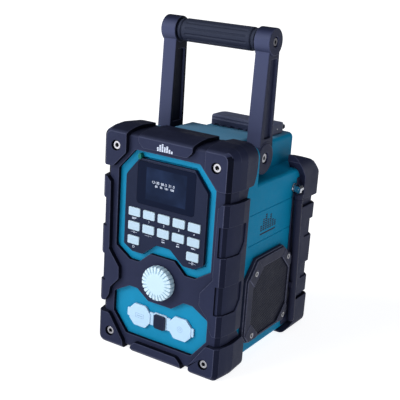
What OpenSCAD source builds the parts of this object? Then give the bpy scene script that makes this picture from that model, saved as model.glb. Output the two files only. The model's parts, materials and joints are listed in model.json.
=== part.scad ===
// Jobsite radio. Millimetres, +Z up, the front faces -Y.
// All pieces are drawn in a working frame: x = 0 is the mid-plane, y = 0 the heads of the front corner screws and
// z = 0 halfway between them. place() moves that frame so the origin is at the bottom centre of the whole object.

/* [Body] */
// Width over the raised bumper pads
body_w = 172.8; // [172:0.2:173.6]
// Width over the sunken bumper frame
frame_w = 163.2; // [162.4:0.2:164]
// Wall thickness of the teal housing
wall = 3; // [2.4:0.1:3.4]
// Height of the front pads in front of the bumper frame
pad_h = 5.5; // [4.5:0.1:6]
// Depth of the sunken panels in the side pads
panel_sink = 2; // [1:0.1:2.6]

/* [Keys] */
// Width of a key
key_w = 15.6; // [14:0.1:16]
// Height of a key
key_h = 9.8; // [9:0.1:10.4]
// Distance between key columns
key_pitch_x = 19.9; // [19.5:0.1:20.2]
// Distance between key rows
key_pitch_z = 16.6; // [16:0.1:16.8]
// Gap round a key
key_gap = 0.35; // [0.3:0.05:0.5]

/* [Knob] */
// Radius of the tuning knob
knob_r = 19.8; // [18:0.2:20.4]
// Number of grooves round the knob
knob_grooves = 24; // [18:1:30]
// Radius of the encoder shaft
shaft_r = 3; // [2.5:0.1:3.2]
// Running clearance of the encoder shaft
shaft_gap = 0.05; // [0.02:0.01:0.09]

/* [Handle] */
// Height of the grip above the pivots
grip_rise = 127.6; // [124:0.2:130]
// Radius of the rubber grip
grip_r = 13; // [12:0.2:14]
// Radius of the round ends above the arms
cap_r = 15; // [14:0.2:15.6]
// Radius of the disc round each pivot
pivot_disc_r = 18.7; // [17:0.1:19]

/* [Speakers] */
// Distance between speaker screws, both ways
spk_pitch = 76; // [75:0.2:77]
// Across flats of the grille opening
grille_w = 84; // [82:0.5:85]
// Corner cut of the grille opening
grille_cut = 20; // [18:0.5:22]

/* [Antenna] */
// Length of the whip below its joint
whip_len = 175; // [165:1:176]
// Whip radius at the top
whip_r1 = 5.6; // [5:0.1:5.7]
// Whip radius at the lower end
whip_r2 = 4.3; // [3.6:0.1:4.4]
// Lean of the parked whip towards the rear, in degrees
whip_lean = 4.2; // [3.6:0.1:4.4]

/* [Lid] */
// Half width of the battery lid
lid_hw = 42.4; // [41.6:0.2:43]
// Height of the lid top above the working zero plane
lid_top = 128.5; // [127:0.5:129]

/* [Hidden] */
$fn = 48;

hw = body_w / 2;          // outside of the pads
fw = frame_w / 2;         // outside of the sunken frame
hr = hw - 2.2;            // outside of the rear pads
fr = fw - 1.4;            // outside of the sunken rear frame
sx = 76;                  // side of the housing
bot = -124.5;             // underside of the housing
top = 124;                // deck of the housing
shelf = 81.5;             // side shelves beside the centre block
deck = 115.3;             // lower deck under the battery lid
rs_z = 62;                // upper rear screws
blk = 50;                 // half width of the centre block
rear = 196;               // back of the housing with its cover
face = 3.5 - pad_h;       // front face of the pads
fas = 8.5;                // front face of the teal front panel
knob_z = -33.5;
piv = [93, 105.8];        // handle pivot (y, z)
grip = [94.5, piv[1] + grip_rise];
ant = [83.5, 158.5, 59.5];  // antenna joint
scr = [65, 111.7];        // corner screws
spk = [109.5, -60];       // speaker centre (y, z)
lid_pin = [190.5, 121.5];
x_mid = (ant[0] + whip_r1 - hw) / 2;
y_mid = 102.95;
z_floor = 129;

module place() translate([-x_mid, -y_mid, z_floor]) children();
module ext_y(y0, y1) translate([0, y1, 0]) rotate([90, 0, 0]) linear_extrude(y1 - y0) children();
module ext_x(x0, x1) translate([x0, 0, 0]) rotate([90, 0, 90]) linear_extrude(x1 - x0) children();
module ext_z(z0, z1) translate([0, 0, z0]) linear_extrude(z1 - z0) children();
module cyl_x(x0, x1, y, z, r, fn = 48) translate([x0, y, z]) rotate([0, 90, 0]) cylinder(h = x1 - x0, r = r, $fn = fn);
module cyl_y(x, z, y0, y1, r, fn = 48) translate([x, y1, z]) rotate([90, 0, 0]) cylinder(h = y1 - y0, r = r, $fn = fn);
module box(x0, x1, y0, y1, z0, z1) translate([x0, y0, z0]) cube([x1 - x0, y1 - y0, z1 - z0]);
module both() { children(); mirror([1, 0, 0]) children(); }

// polygon with rounded corners, points [x, y, radius], n steps round each corner
function rpc(a, b, c, r, n) = r <= 0 ? [b] : let(u = (a - b) / norm(a - b), v = (c - b) / norm(c - b),
    th = acos(u * v), t = r / tan(th / 2), p1 = b + u * t, p2 = b + v * t, w = (u + v) / norm(u + v),
    cen = b + w * (r / sin(th / 2)), a1 = atan2(p1[1] - cen[1], p1[0] - cen[0]),
    a2 = atan2(p2[1] - cen[1], p2[0] - cen[0]), d = ((a2 - a1 + 540) % 360) - 180)
    [for (i = [0 : n]) cen + r * [cos(a1 + d * i / n), sin(a1 + d * i / n)]];
module rpoly(pts, n = 5) {
    m = len(pts);
    polygon([for (i = [0 : m - 1]) for (q = rpc([pts[(i + m - 1) % m][0], pts[(i + m - 1) % m][1]],
        [pts[i][0], pts[i][1]], [pts[(i + 1) % m][0], pts[(i + 1) % m][1]], pts[i][2], n)) q]);
}
module rrect(h, z0, z1, r, n = 8) rpoly([[-h, z0, r], [h, z0, r], [h, z1, r], [-h, z1, r]], n);
// mirrored outline about x = 0, right half given from the bottom up
module sym_poly(p, n = 5) rpoly(concat(p, [for (i = [len(p) - 1 : -1 : 0]) [-p[i][0], p[i][1], p[i][2]]]), n);

// outline with its own corner radii at the bottom and at the top
module outline(h, z0, z1, rb, rt) rpoly([[-h, z0, rb], [h, z0, rb], [h, z1, rt], [-h, z1, rt]], 6);
// swelling outside of the front pads, s millimetres further in
module pad_shell(s = 0) hull() {
    ext_y(face + s, face + s + 0.1) outline(hw - 8.2 - s * 0.4, -124.6 + s, 127 - s, 5, 7);
    ext_y(2.4 + s * 0.6, 2.5 + s * 0.6) outline(hw - 3.6 - s, -129 + s, 129.6 - s, 8, 10);
    ext_y(14, 14.1) outline(hw - 1.2 - s, -129 + s, 132.2 - s, 9, 13);
    ext_y(26, 26.1) outline(hw - s, -129 + s, 133.4 - s, 9, 15);
    ext_y(57.9, 58) outline(hw - 2.4 - s, -129 + s, 131.2 - s, 9, 16);
}
module frame_shell() hull() {
    ext_y(3.5, 3.6) outline(fw - 6.4, -122.8, 124, 9, 9);
    ext_y(7.4, 7.5) outline(fw - 1.8, -126.6, 127, 12, 12);
    ext_y(20, 20.1) outline(fw, -126.6, 128.4, 13, 13);
    ext_y(57.9, 58) outline(fw - 1, -126.6, 128, 13, 14);
}
module env_rear(h, z0, z1, rb, rt, y0, y1, c) hull() {
    ext_y(y0, y1 - c) outline(h, z0, z1, rb, rt);
    ext_y(y1 - 0.1, y1) outline(h - c, z0 + c, z1 - c, rb - c * 0.6, rt - c * 0.6);
}

// ---- teal housing -------------------------------------------------------------------------------------------------
module block_profile(in) rpoly([[11, 60, 0], [11, top - in, 0], [117, top - in, 8], [135, deck - in, 8],
    [192.5, deck - in, 0], [192.5, 60, 0]], 5);
module housing_body(in) {
    // front box, full width up to the deck
    ext_y(12, 70 - in) rrect(sx - in, bot + in, top - in, 12 - in);
    // lower box
    ext_y(60, 192.5) rpoly([[-(sx - in), bot + in, 7 - in], [sx - in, bot + in, 7 - in], [sx - in, shelf - in, 4 - in / 1.5],
        [-(sx - in), shelf - in, 4 - in / 1.5]], 5);
    // centre block between the handle arms
    intersection() {
        ext_x(-(blk - in), blk - in) block_profile(in);
        ext_y(12, 138) rpoly([[-(blk - in), 40, 0], [blk - in, 40, 0], [blk - in, top - in, 8 - in], [-(blk - in), top - in, 8 - in]], 6);
    }
    ext_y(137, 192.5) rpoly([[-(blk - in), 40, 0], [blk - in, 40, 0], [blk - in, deck - in, 6 - in], [-(blk - in), deck - in, 6 - in]], 6);
}
module main_housing() color([0.09, 0.45, 0.60]) place() difference() {
    union() {
        difference() {
            housing_body(0);
            intersection() { housing_body(wall); box(-100, 100, 0, 300, -200, 200); }
            // open front and back
            ext_y(10, 20) rrect(sx - wall, bot + wall, top - wall, 9);
            box(-70, 70, 185, 200, bot + wall, shelf - wall);
            box(-(blk - wall), blk - wall, 185, 200, 60, deck - wall);
        }
        // screw posts
        both() for (z = [scr[1], -scr[1]]) {
            cyl_y(scr[0], z, 12, 60, 5);
            box(scr[0], sx - wall + 0.5, 12, 60, z - 1.5, z + 1.5);
        }
        both() for (z = [rs_z, -scr[1]]) {
            cyl_y(scr[0], z, 150, 192.5, 5);
            box(scr[0], sx - wall + 0.5, 150, 192.5, z - 1.5, z + 1.5);
        }
        // handle bosses
        both() cyl_x(30, blk + 1, piv[0], piv[1], 9);
        // lid hinge ears
        both() ear(27, 33);
    }
    both() for (z = [scr[1], -scr[1]]) cyl_y(scr[0], z, 11, 50, 2);
    both() for (z = [rs_z, -scr[1]]) cyl_y(scr[0], z, 160, 193, 2);
    both() cyl_x(29, 52, piv[0], piv[1], 3);
    both() cyl_x(20, 40, lid_pin[0], lid_pin[1], 1.5);
    // speaker openings and screw holes
    both() {
        cyl_x(70, 80, spk[0], spk[1], 36);
        for (a = [-1, 1]) for (b = [-1, 1]) cyl_x(70, 80, spk[0] + a * spk_pitch / 2, spk[1] + b * spk_pitch / 2, 1.6);
    }
    // battery opening
    box(-38.5, 38.5, 158, 184.5, 105, 120);
    // side grooves
    both() for (g = [[58, 164, 47.8], [60, 161, 11.5]]) box(sx - 0.7, sx + 1, g[0], g[1], g[2] - 0.4, g[2] + 0.4);
}
module ear(x0, x1) {
    box(x0, x1, 187.9, 192.5, deck - 0.5, lid_pin[1]);
    cyl_x(x0, x1, lid_pin[0], lid_pin[1], 2.7);
}
module rear_cover() color([0.09, 0.45, 0.60]) place() difference() {
    union() {
        ext_y(192.5, rear) rpoly([[-sx, bot, 7], [sx, bot, 7], [sx, shelf, 4], [-sx, shelf, 4]], 5);
        ext_y(192.5, rear) rpoly([[-blk, 40, 0], [blk, 40, 0], [blk, deck, 6], [-blk, deck, 6]], 6);
        // raised centre field
        ext_y(rear - 1, rear + 1.5) rpoly([[-46, -72, 5], [46, -72, 5], [46, 46, 5], [-46, 46, 5]], 5);
        // locating rim
        difference() {
            ext_y(187, 193) rrect(sx - wall - 0.1, bot + wall + 0.1, shelf - wall - 0.1, 4.4, 5);
            ext_y(186, 194) rrect(sx - wall - 2.5, bot + wall + 2.5, shelf - wall - 2.5, 2, 5);
            both() for (z = [rs_z, -scr[1]]) cyl_y(scr[0], z, 186, 192.5, 5.2);
            both() box(scr[0], 80, 186, 192.5, rs_z - 1.7, rs_z + 1.7);
            both() box(scr[0], 80, 186, 192.5, -scr[1] - 1.7, -scr[1] + 1.7);
            box(-60, 60, 186, 192.5, 70, 90);
        }
    }
    both() for (z = [rs_z, -scr[1]]) cyl_y(scr[0], z, 180, 200, 2.2);
    // direct current inlet
    cyl_y(-34, -92, 180, 200, 4.5);
    // vent slots
    for (i = [0 : 6]) box(-30, 30, 190, 200, -55 + i * 7, -52.5 + i * 7);
}

// ---- front --------------------------------------------------------------------------------------------------------
module front_fascia() color([0.10, 0.50, 0.66]) place() difference() {
    ext_y(fas, 12) rrect(sx, bot, top, 12);
    // opening behind the display panel
    ext_y(8, 13) sym_poly([[14, 10, 0], [31, -3.5, 0], [43.5, -3.5, 0], [50, 2, 0], [50, 82, 0], [39, 94, 0]], 1);
    // ports
    both() box(16, 38, 8, 13, -90.5, -76.5);
    cyl_y(0, knob_z, 8, 13, 4.6);
    both() for (z = [scr[1], -scr[1]]) cyl_y(scr[0], z, 8, 13, 2.2);
    // shadow gap round the display panel
    difference() {
        ext_y(7, 11.1) panel_shape(1.5);
        ext_y(6, 12) panel_shape(-0.4);
    }
}
module upper_opening(y0, y1) ext_y(y0, y1) sym_poly([[16.3, -4.5, 2], [31.2, -17.6, 2], [44.3, -17.6, 3], [63.8, -5, 3],
    [63.7, 86, 3], [41.8, 110.2, 3]], 4);
module lower_opening(y0, y1) ext_y(y0, y1) sym_poly([[45.2, -109.3, 3], [63.9, -86.7, 3], [63.8, -61.6, 3], [43.1, -50, 3],
    [31.7, -50, 2], [15.9, -61.4, 2]], 4);
module front_depth() ext_x(-100, 100) polygon([[-10, -140], [53, -140], [53, -97], [46, -88], [39.4, -80], [39.4, 75],
    [41.5, 84], [47, 90], [50.5, 98], [52, 108], [52, 140], [-10, 140]]);
module corner_pad_front() {
    ext_y(-10, 70) rpoly([[51, 135, 0], [51, 106, 4], [68.5, 87.5, 4], [95, 87.5, 0], [95, 135, 0]], 3);
    ext_y(-10, 70) rpoly([[46, -135, 0], [95, -135, 0], [95, -89, 0], [67, -89, 4], [46, -119, 4]], 3);
}
module mid_pad_front() ext_y(-10, 70) rpoly([[95, 74.6, 0], [75.4, 74.6, 2], [70.4, 69.5, 2], [69.6, -7, 3], [70.4, -10, 2],
    [55.2, -29, 3], [54.8, -43.5, 3], [66.4, -56.2, 3], [68, -66, 3], [73.4, -75.2, 2], [95, -75.2, 0]], 3);
module centre_pads_front() {
    ext_y(-10, 50) rpoly([[-35, 135, 0], [-35, 121.5, 5], [-28.5, 115.2, 5], [28.5, 115.2, 5], [35, 121.5, 5], [35, 135, 0]], 4);
    ext_y(-10, 53) rpoly([[-35, -135, 0], [-35, -121.5, 5], [-28.5, -115.2, 5], [28.5, -115.2, 5], [35, -121.5, 5], [35, -135, 0]], 4);
}
// sunken side panel from z0 to z1 that runs over the front edge
module panel_cut(z0, z1) ext_x(73.8, 100) rpoly([[-10, z0, 0], [24, z0, 2], [33.5, z0 + 11, 2], [33.5, z1, 2], [-10, z1, 0]], 3);
module front_bumper() color([0.20, 0.21, 0.28]) place() difference() {
    union() {
        intersection() {
            frame_shell();
            front_depth();
        }
        intersection() {
            pad_shell();
            front_depth();
            union() { both() { corner_pad_front(); mid_pad_front(); } centre_pads_front(); }
        }
    }
    // room for the housing and the front panel
    ext_y(fas, 70) rrect(sx, bot, top, 12);
    upper_opening(-5, 9);
    lower_opening(-5, 9);
    // top edge steps back between the corner pads
    box(-38, 38, 50, 60, 118, 140);
    // corner screws
    both() for (z = [scr[1], -scr[1]]) {
        cyl_y(scr[0], z, -5, 2.5, 6);
        cyl_y(scr[0], z, 0, 12, 2.2);
    }
    cyl_y(0, knob_z, 0, 12, 6.5);
    // sunken side panels
    difference() {
        both() for (q = [[16.2, 49.8], [-49.9, -17]]) panel_cut(q[0], q[1]);
        pad_shell(panel_sink);
    }
}
module screw_y(x, z, y0, r, l, flip = false) translate([x, y0, z]) rotate([flip ? 90 : -90, 0, 0]) difference() {
    union() { cylinder(h = 2.5, r = r); translate([0, 0, 2.5]) cylinder(h = l, r = 2); }
    translate([0, 0, -1]) cylinder(h = 3, r = r * 0.56, $fn = 6);
}
module front_screws() color([0.75, 0.75, 0.77]) place() for (x = [-scr[0], scr[0]]) for (z = [-scr[1], scr[1]])
    screw_y(x, z, 0, 4.6, 40);

module panel_shape(g) sym_poly([[9 - g / 2, 7.4 + g * 1.1, 3], [27.5, -7.5 - g, 3], [41.5, -7.5 - g, 3], [53.5 + g, -0.5 - g / 2, 3],
    [53.5 + g, 80.5 + g / 2, 3], [36, 102 + g, 3]], 3);
module display_panel() color([0.17, 0.17, 0.24]) place() difference() {
    ext_y(4, fas) panel_shape(0);
    // pocket behind the face
    ext_y(6.5, 9) sym_poly([[14, 12, 0], [30, -4, 0], [43.5, -4, 0], [50, 1.5, 0], [50, 79, 0], [40, 90, 0]], 1);
    // recess for the window and hole for the display
    ext_y(3, 5.5) rpoly([[-38.3, 50.7, 4], [38.3, 50.7, 4], [38.3, 99.6, 4], [-38.3, 99.6, 4]], 4);
    box(-30, 30, 3, 9, 56, 95);
    // key holes
    for (k = keys()) box(k[0] - key_w / 2 - key_gap, k[0] + key_w / 2 + key_gap, 3, 9, k[1] - key_h / 2 - key_gap, k[1] + key_h / 2 + key_gap);
    // notch for the status light
    box(-38.4, -33.6, 3, 9, 100.6, 110);
}
module display_window() color([0.05, 0.06, 0.10]) place() ext_y(3.9, 5.5)
    rpoly([[-38.1, 50.9, 4], [38.1, 50.9, 4], [38.1, 99.4, 4], [-38.1, 99.4, 4]], 4);
module lcd_module() color([0.12, 0.16, 0.24]) place() {
    box(-29.5, 29.5, 5.7, 9.2, 56.5, 93.5);
    box(-27, 27, 9.2, 12, 58, 93);
}
module status_light() color([0.55, 0.85, 0.75]) place() {
    cyl_y(-36, 102.9, 3.2, fas, 2.1);
    cyl_y(-36, 105.2, 3.2, fas, 2.1);
    box(-38.1, -33.9, 3.2, fas, 102.9, 105.2);
}
function keys() = let(p = key_pitch_x, r = key_pitch_z) [[-2 * p, 39.8], [-p, 39.8], [0, 39.8], [p, 39.8], [2 * p, 39.8],
    [-2 * p, 39.8 - r], [-p, 39.8 - r], [0, 39.8 - r], [p, 39.8 - r], [2 * p, 39.8 - r], [-2 * p, 39.8 - 2 * r], [2 * p, 39.8 - 2 * r]];
module key(i) color([0.80, 0.91, 0.96]) place() translate([keys()[i][0], 0, keys()[i][1]]) {
    ext_y(2.7, 6.9) rpoly([[-key_w / 2, -key_h / 2, 1], [key_w / 2, -key_h / 2, 1], [key_w / 2, key_h / 2, 1], [-key_w / 2, key_h / 2, 1]], 3);
    box(-key_w / 2 - 0.65, key_w / 2 + 0.65, 6.9, 7.5, -key_h / 2 - 0.65, key_h / 2 + 0.65);
    cyl_y(0, 0, 7.5, 8.7, 1.6);
}
module key_board() color([0.10, 0.35, 0.20]) place() {
    ext_y(12, 13.6) sym_poly([[52, -6, 0], [52, 84, 0], [41, 97, 0]], 1);
    // switches behind the keys
    for (k = keys()) box(k[0] - 2.6, k[0] + 2.6, 9.8, 12, k[1] - 2.6, k[1] + 2.6);
}
module rotary_encoder() color([0.35, 0.36, 0.38]) place() difference() {
    union() {
        box(-7, 7, 12, 19, knob_z - 7, knob_z + 7);
        cyl_y(0, knob_z, 4.4, 12, 4.6);
    }
    cyl_y(0, knob_z, 4, 16, shaft_r + shaft_gap);
}
module encoder_shaft() color([0.7, 0.7, 0.72]) place() cyl_y(0, knob_z, -3.4, 15.2, shaft_r);
module tuning_knob() color([0.80, 0.91, 0.96]) place() translate([0, 0, knob_z]) difference() {
    translate([0, 3, 0]) rotate([90, 0, 0]) rotate_extrude($fn = 96)
        polygon([[0, 0], [knob_r, 0], [knob_r, 5.6], [knob_r - 1, 8], [knob_r - 2.6, 9.1], [0, 9.1]]);
    for (i = [0 : knob_grooves - 1]) rotate([0, i * 360 / knob_grooves, 0]) cyl_y(knob_r + 0.5, 0, -8, 4, 1.35, 16);
    cyl_y(0, 0, -3.4, 4, shaft_r);
}
module port_plate() color([0.13, 0.13, 0.16]) place() difference() {
    box(-42, 42, 12, 13.6, -94, -73);
    box(-33.6, -20.4, 11, 15, -86.8, -80.2);
    cyl_y(27, -83.5, 11, 15, 4);
}
module usb_socket() color([0.72, 0.72, 0.74]) place() {
    difference() {
        box(-33.6, -20.4, 10.5, 26, -86.8, -80.2);
        box(-33.1, -20.9, 9, 25, -86.3, -80.7);
    }
    box(-32.4, -21.6, 12, 25, -82.9, -81.1);
}
module audio_socket() color([0.12, 0.12, 0.13]) place() difference() {
    union() {
        cyl_y(27, -83.5, 10.5, 13.6, 4);
        box(21, 33, 13.6, 26, -88.5, -78.5);
    }
    cyl_y(27, -83.5, 9, 25, 1.8);
}
module port_strap() color([0.80, 0.91, 0.96]) place() {
    ext_y(6.7, fas) rpoly([[-8.9, -91.2, 0.5], [8.9, -91.2, 0.5], [8.9, -74, 2], [-8.9, -74, 2]], 3);
}
module strap_keeper() color([0.20, 0.21, 0.28]) place() {
    ext_y(4.6, 6.7) rpoly([[-7.6, -92.3, 2.5], [7.6, -92.3, 2.5], [7.6, -75.2, 2.5], [-7.6, -75.2, 2.5]], 4);
}
module port_flap() {
    // flap, pull tab and the strap end that turns
    ext_y(5.4, 8.1) rpoly([[13.5, -89, 0], [13.5, -78, 0], [20, -70.2, 1.5], [35.5, -70.2, 1.5], [42.6, -77.6, 1], [42.6, -89.4, 1],
        [35.5, -96.8, 1.5], [20, -96.8, 1.5]], 3);
    ext_y(6.2, 8.1) rpoly([[42, -88, 0], [45.7, -88, 0.8], [45.7, -78, 0.8], [42, -78, 0]], 2);
    box(9.9, 14, 6.6, 8.1, -91.8 + 1.2, -74 - 1.2);
    translate([9.9, 7.35, -90.6]) cylinder(h = 15.4, r = 0.75);
    // plug that fills the port opening
    box(20, 35, 8.1, 9.6, -88, -79);
}
module right_port_flap() color([0.80, 0.91, 0.96]) place() port_flap();
module left_port_flap() color([0.80, 0.91, 0.96]) place() mirror([1, 0, 0]) port_flap();

// ---- speakers -----------------------------------------------------------------------------------------------------
module oct(g) { w = grille_w / 2 + g; c = grille_cut + g * 0.586;
    translate([spk[0], spk[1]]) polygon([[-w, -w + c], [-w + c, -w], [w - c, -w], [w, -w + c], [w, w - c], [w - c, w], [-w + c, w], [-w, w - c]]); }
module frame_outline(g) rpoly([[53.5 + g, -27, 3], [73, -5 - g, 3], [136, -5 - g, 3], [157 - g, -23.5, 3], [157 - g, -97, 3], [148, -106 + g, 3],
    [64, -106 + g, 3], [53.5 + g, -94, 3]], 3);
module speaker_frame() difference() {
    union() {
        ext_x(sx, 81) frame_outline(0);
        ext_x(80, 83.2) frame_outline(1.6);
        // raised tabs under the screws
        intersection() {
            ext_x(80, 84) frame_outline(1.6);
            for (a = [-1, 1]) for (b = [-1, 1]) translate([0, spk[0] + a * (spk_pitch / 2 + 3), spk[1] + b * (spk_pitch / 2 + 3)])
                rotate([45, 0, 0]) box(79, 85, -13, 13, -13, 13);
        }
    }
    ext_x(70, 90) oct(0);
    ext_x(70, 81.6) oct(2.5);
    for (a = [-1, 1]) for (b = [-1, 1]) {
        cyl_x(70, 90, spk[0] + a * spk_pitch / 2, spk[1] + b * spk_pitch / 2, 1.8);
        cyl_x(82.4, 90, spk[0] + a * spk_pitch / 2, spk[1] + b * spk_pitch / 2, 3.9);
    }
}
module speaker_frame_right() color([0.20, 0.21, 0.28]) place() speaker_frame();
module speaker_frame_left() color([0.20, 0.21, 0.28]) place() mirror([1, 0, 0]) speaker_frame();
module grille() difference() {
    ext_x(80.4, 81.6) oct(2.4);
    for (i = [-4 : 4]) for (j = [-4 : 4]) if (abs(i) + abs(j) < 8) cyl_x(79, 83, spk[0] + i * 9, spk[1] + j * 9, 1.5, 16);
}
module grille_right() color([0.10, 0.10, 0.13]) place() grille();
module grille_left() color([0.10, 0.10, 0.13]) place() mirror([1, 0, 0]) grille();
module driver() translate([0, spk[0], spk[1]]) rotate([0, 90, 0]) rotate_extrude($fn = 64)
    polygon([[0, 44], [22.5, 44], [22.5, 56], [25, 56], [35, 70], [38.5, 70], [38.5, 73], [34.5, 73], [34.5, 71.5], [23, 57.5], [0, 57.5]]);
module cone() translate([0, spk[0], spk[1]]) rotate([0, 90, 0]) rotate_extrude($fn = 64)
    polygon([[8.5, 57.5], [9.5, 57.5], [9.5, 60], [30.5, 71], [34.5, 71.6], [34.5, 73], [30, 72.6], [11, 62.6], [8, 64.2], [0, 65], [0, 63.6], [8.5, 62]]);
module speaker_driver_right() color([0.25, 0.25, 0.27]) place() driver();
module speaker_driver_left() color([0.25, 0.25, 0.27]) place() mirror([1, 0, 0]) driver();
module speaker_cone_right() color([0.12, 0.12, 0.13]) place() cone();
module speaker_cone_left() color([0.12, 0.12, 0.13]) place() mirror([1, 0, 0]) cone();
module speaker_screw() difference() {
    union() { cyl_x(82.4, 84, 0, 0, 3.3); cyl_x(70, 82.4, 0, 0, 1.6); }
    cyl_x(82.9, 85, 0, 0, 1.9, 6);
}
module speaker_screws() color([0.75, 0.75, 0.77]) place() both() for (a = [-1, 1]) for (b = [-1, 1])
    translate([0, spk[0] + a * spk_pitch / 2, spk[1] + b * spk_pitch / 2]) speaker_screw();

// ---- handle -------------------------------------------------------------------------------------------------------
module arm() difference() {
    union() {
        ext_x(51.3, 68.9) polygon([[80, piv[1]], [108, piv[1]], [107, grip[1] - 10], [84, grip[1] - 10]]);
        cyl_x(51.3, 68.9, piv[0], piv[1], 13);
        cyl_x(60, 69.3, piv[0], piv[1], pivot_disc_r, 64);
        cyl_x(60, 70.3, piv[0], piv[1], pivot_disc_r - 2.2, 64);
        cyl_x(50.8, 70.3, grip[0], grip[1], cap_r, 64);
    }
    // channel along the outside
    ext_x(66, 75) rpoly([[88, 127.6, 2], [103.4, 127.6, 2], [103.2, grip[1] - 19, 2], [89, grip[1] - 19, 2]], 3);
    // lightening pocket along the inside
    ext_x(45, 54) rpoly([[85, 128, 2], [103.4, 128, 2], [102.6, grip[1] - 22, 2], [88, grip[1] - 22, 2]], 3);
    // pivot screw: bore, washer recess, open recess
    cyl_x(40, 80, piv[0], piv[1], 3.05);
    cyl_x(66, 80, piv[0], piv[1], 6.4);
    // grip tube socket and end screw recess
    cyl_x(45, 64, grip[0], grip[1], 8);
    cyl_x(60, 80, grip[0], grip[1], 2.2);
    cyl_x(67, 80, grip[0], grip[1], 5.6);
}
module handle_arm_right() color([0.20, 0.21, 0.28]) place() arm();
module handle_arm_left() color([0.20, 0.21, 0.28]) place() mirror([1, 0, 0]) arm();
module handle_grip() color([0.14, 0.14, 0.18]) place() difference() {
    union() {
        cyl_x(-44, 44, grip[0], grip[1], grip_r);
        cyl_x(-50.8, 50.8, grip[0], grip[1], grip_r - 1.6);
        both() cyl_x(46, 49, grip[0], grip[1], grip_r - 0.4);
    }
    for (i = [0 : 11]) translate([0, grip[0], grip[1]]) rotate([i * 30, 0, 0]) box(-39, 39, -0.8, 0.8, grip_r - 0.9, grip_r + 2);
    cyl_x(-60, 60, grip[0], grip[1], 8);
}
module handle_rod() color([0.6, 0.6, 0.62]) place() difference() {
    cyl_x(-64, 64, grip[0], grip[1], 8);
    cyl_x(-52, 52, grip[0], grip[1], 6.5);
    both() cyl_x(51, 70, grip[0], grip[1], 2);
}
module handle_cap_screws() color([0.75, 0.75, 0.77]) place() both() difference() {
    union() { cyl_x(67, 69.2, grip[0], grip[1], 4.4); cyl_x(56, 67, grip[0], grip[1], 2); }
    cyl_x(68, 72, grip[0], grip[1], 2.1, 6);
}
module handle_pivot_screws() color([0.75, 0.75, 0.77]) place() both() difference() {
    union() { cyl_x(66.3, 68.6, piv[0], piv[1], 5.2); cyl_x(36, 66.3, piv[0], piv[1], 3); }
    cyl_x(67.4, 72, piv[0], piv[1], 2.4, 6);
}

// ---- battery lid --------------------------------------------------------------------------------------------------
module battery_lid() color([0.17, 0.17, 0.22]) place() difference() {
    union() {
        intersection() {
            ext_z(deck + 0.4, lid_top) rpoly([[-lid_hw, 154.6, 3], [lid_hw, 154.6, 3], [lid_hw, 187.2, 6], [-lid_hw, 187.2, 6]], 4);
            ext_x(-60, 60) rpoly([[154, 100, 0], [200, 100, 0], [200, 127, 0], [176, lid_top, 0], [158.5, lid_top, 0], [156, 126.6, 0], [156, 124.6, 0],
                [155, 123.6, 0], [154, 123.4, 0]], 2);
        }
        // hinge barrels
        intersection() {
            union() { cyl_x(-26.6, 26.6, lid_pin[0], lid_pin[1], 2.9); box(-26.6, 26.6, 186, lid_pin[0], 118.6, lid_pin[1] + 2.9); }
            box(-26.6, 26.6, 150, 200, 110, 130);
        }
        both() { cyl_x(33.4, 40, lid_pin[0], lid_pin[1], 2.9); box(33.4, 40, 186, lid_pin[0], 118.6, lid_pin[1] + 2.9); }
    }
    box(-39, 39, 158, 184, deck - 1, 125.6);
    both() box(26.6, 33.4, 187.2, 195, 110, 127);
    cyl_x(-60, 60, lid_pin[0], lid_pin[1], 1.55);
    // finger notches under the front edge
    for (i = [-3 : 3]) box(i * 11 - 3, i * 11 + 3, 150, 156.4, deck - 1, 118);
}
module lid_hinge_pin() color([0.7, 0.7, 0.72]) place() cyl_x(-38, 38, lid_pin[0], lid_pin[1], 1.5);
module battery_tub() color([0.13, 0.13, 0.16]) place() difference() {
    box(-40.5, 40.5, 156, 186.5, 20, deck - wall);
    box(-38.5, 38.5, 158, 184.5, 22, 120);
}
module battery_contacts() color([0.8, 0.65, 0.3]) place() for (x = [-24, -8, 8, 24]) box(x - 2, x + 2, 163, 179, 22, 27.5);
module battery_pack() color([0.10, 0.10, 0.11]) place() ext_z(27.5, 108)
    rpoly([[-38, 158.5, 5], [38, 158.5, 5], [38, 184, 5], [-38, 184, 5]], 4);

// ---- antenna ------------------------------------------------------------------------------------------------------
module at_joint() translate(ant) rotate([whip_lean, 0, 0]) children();
module antenna_fork() color([0.80, 0.81, 0.83]) place() {
    cyl_x(sx, sx + 1.2, ant[1], ant[2], 5.6);
    difference() {
        at_joint() {
            // stub and two ears
            cyl_x(-7, -3.9, 0, 0, 4.2);
            for (s = [-1, 1]) translate([0, s * 3.2, 0]) {
                cyl_y(0, 0, -1, 1, 3.9);
                box(-4.2, 0, -1, 1, -3.4, 3.4);
            }
            cyl_y(0, 0, -4.6, 4.6, 1.2);
        }
        box(sx - 9, sx + 1.2, 140, 175, 40, 80);
    }
}
module antenna_knuckle() color([0.80, 0.81, 0.83]) place() at_joint() difference() {
    union() {
        cyl_y(0, 0, -2, 2, 3.6);
        box(-2.4, 2.4, -2, 2, -5.5, 0);
        translate([0, 0, -13]) cylinder(h = 8, r = 2.6);
    }
    cyl_y(0, 0, -5, 5, 1.25);
}
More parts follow.
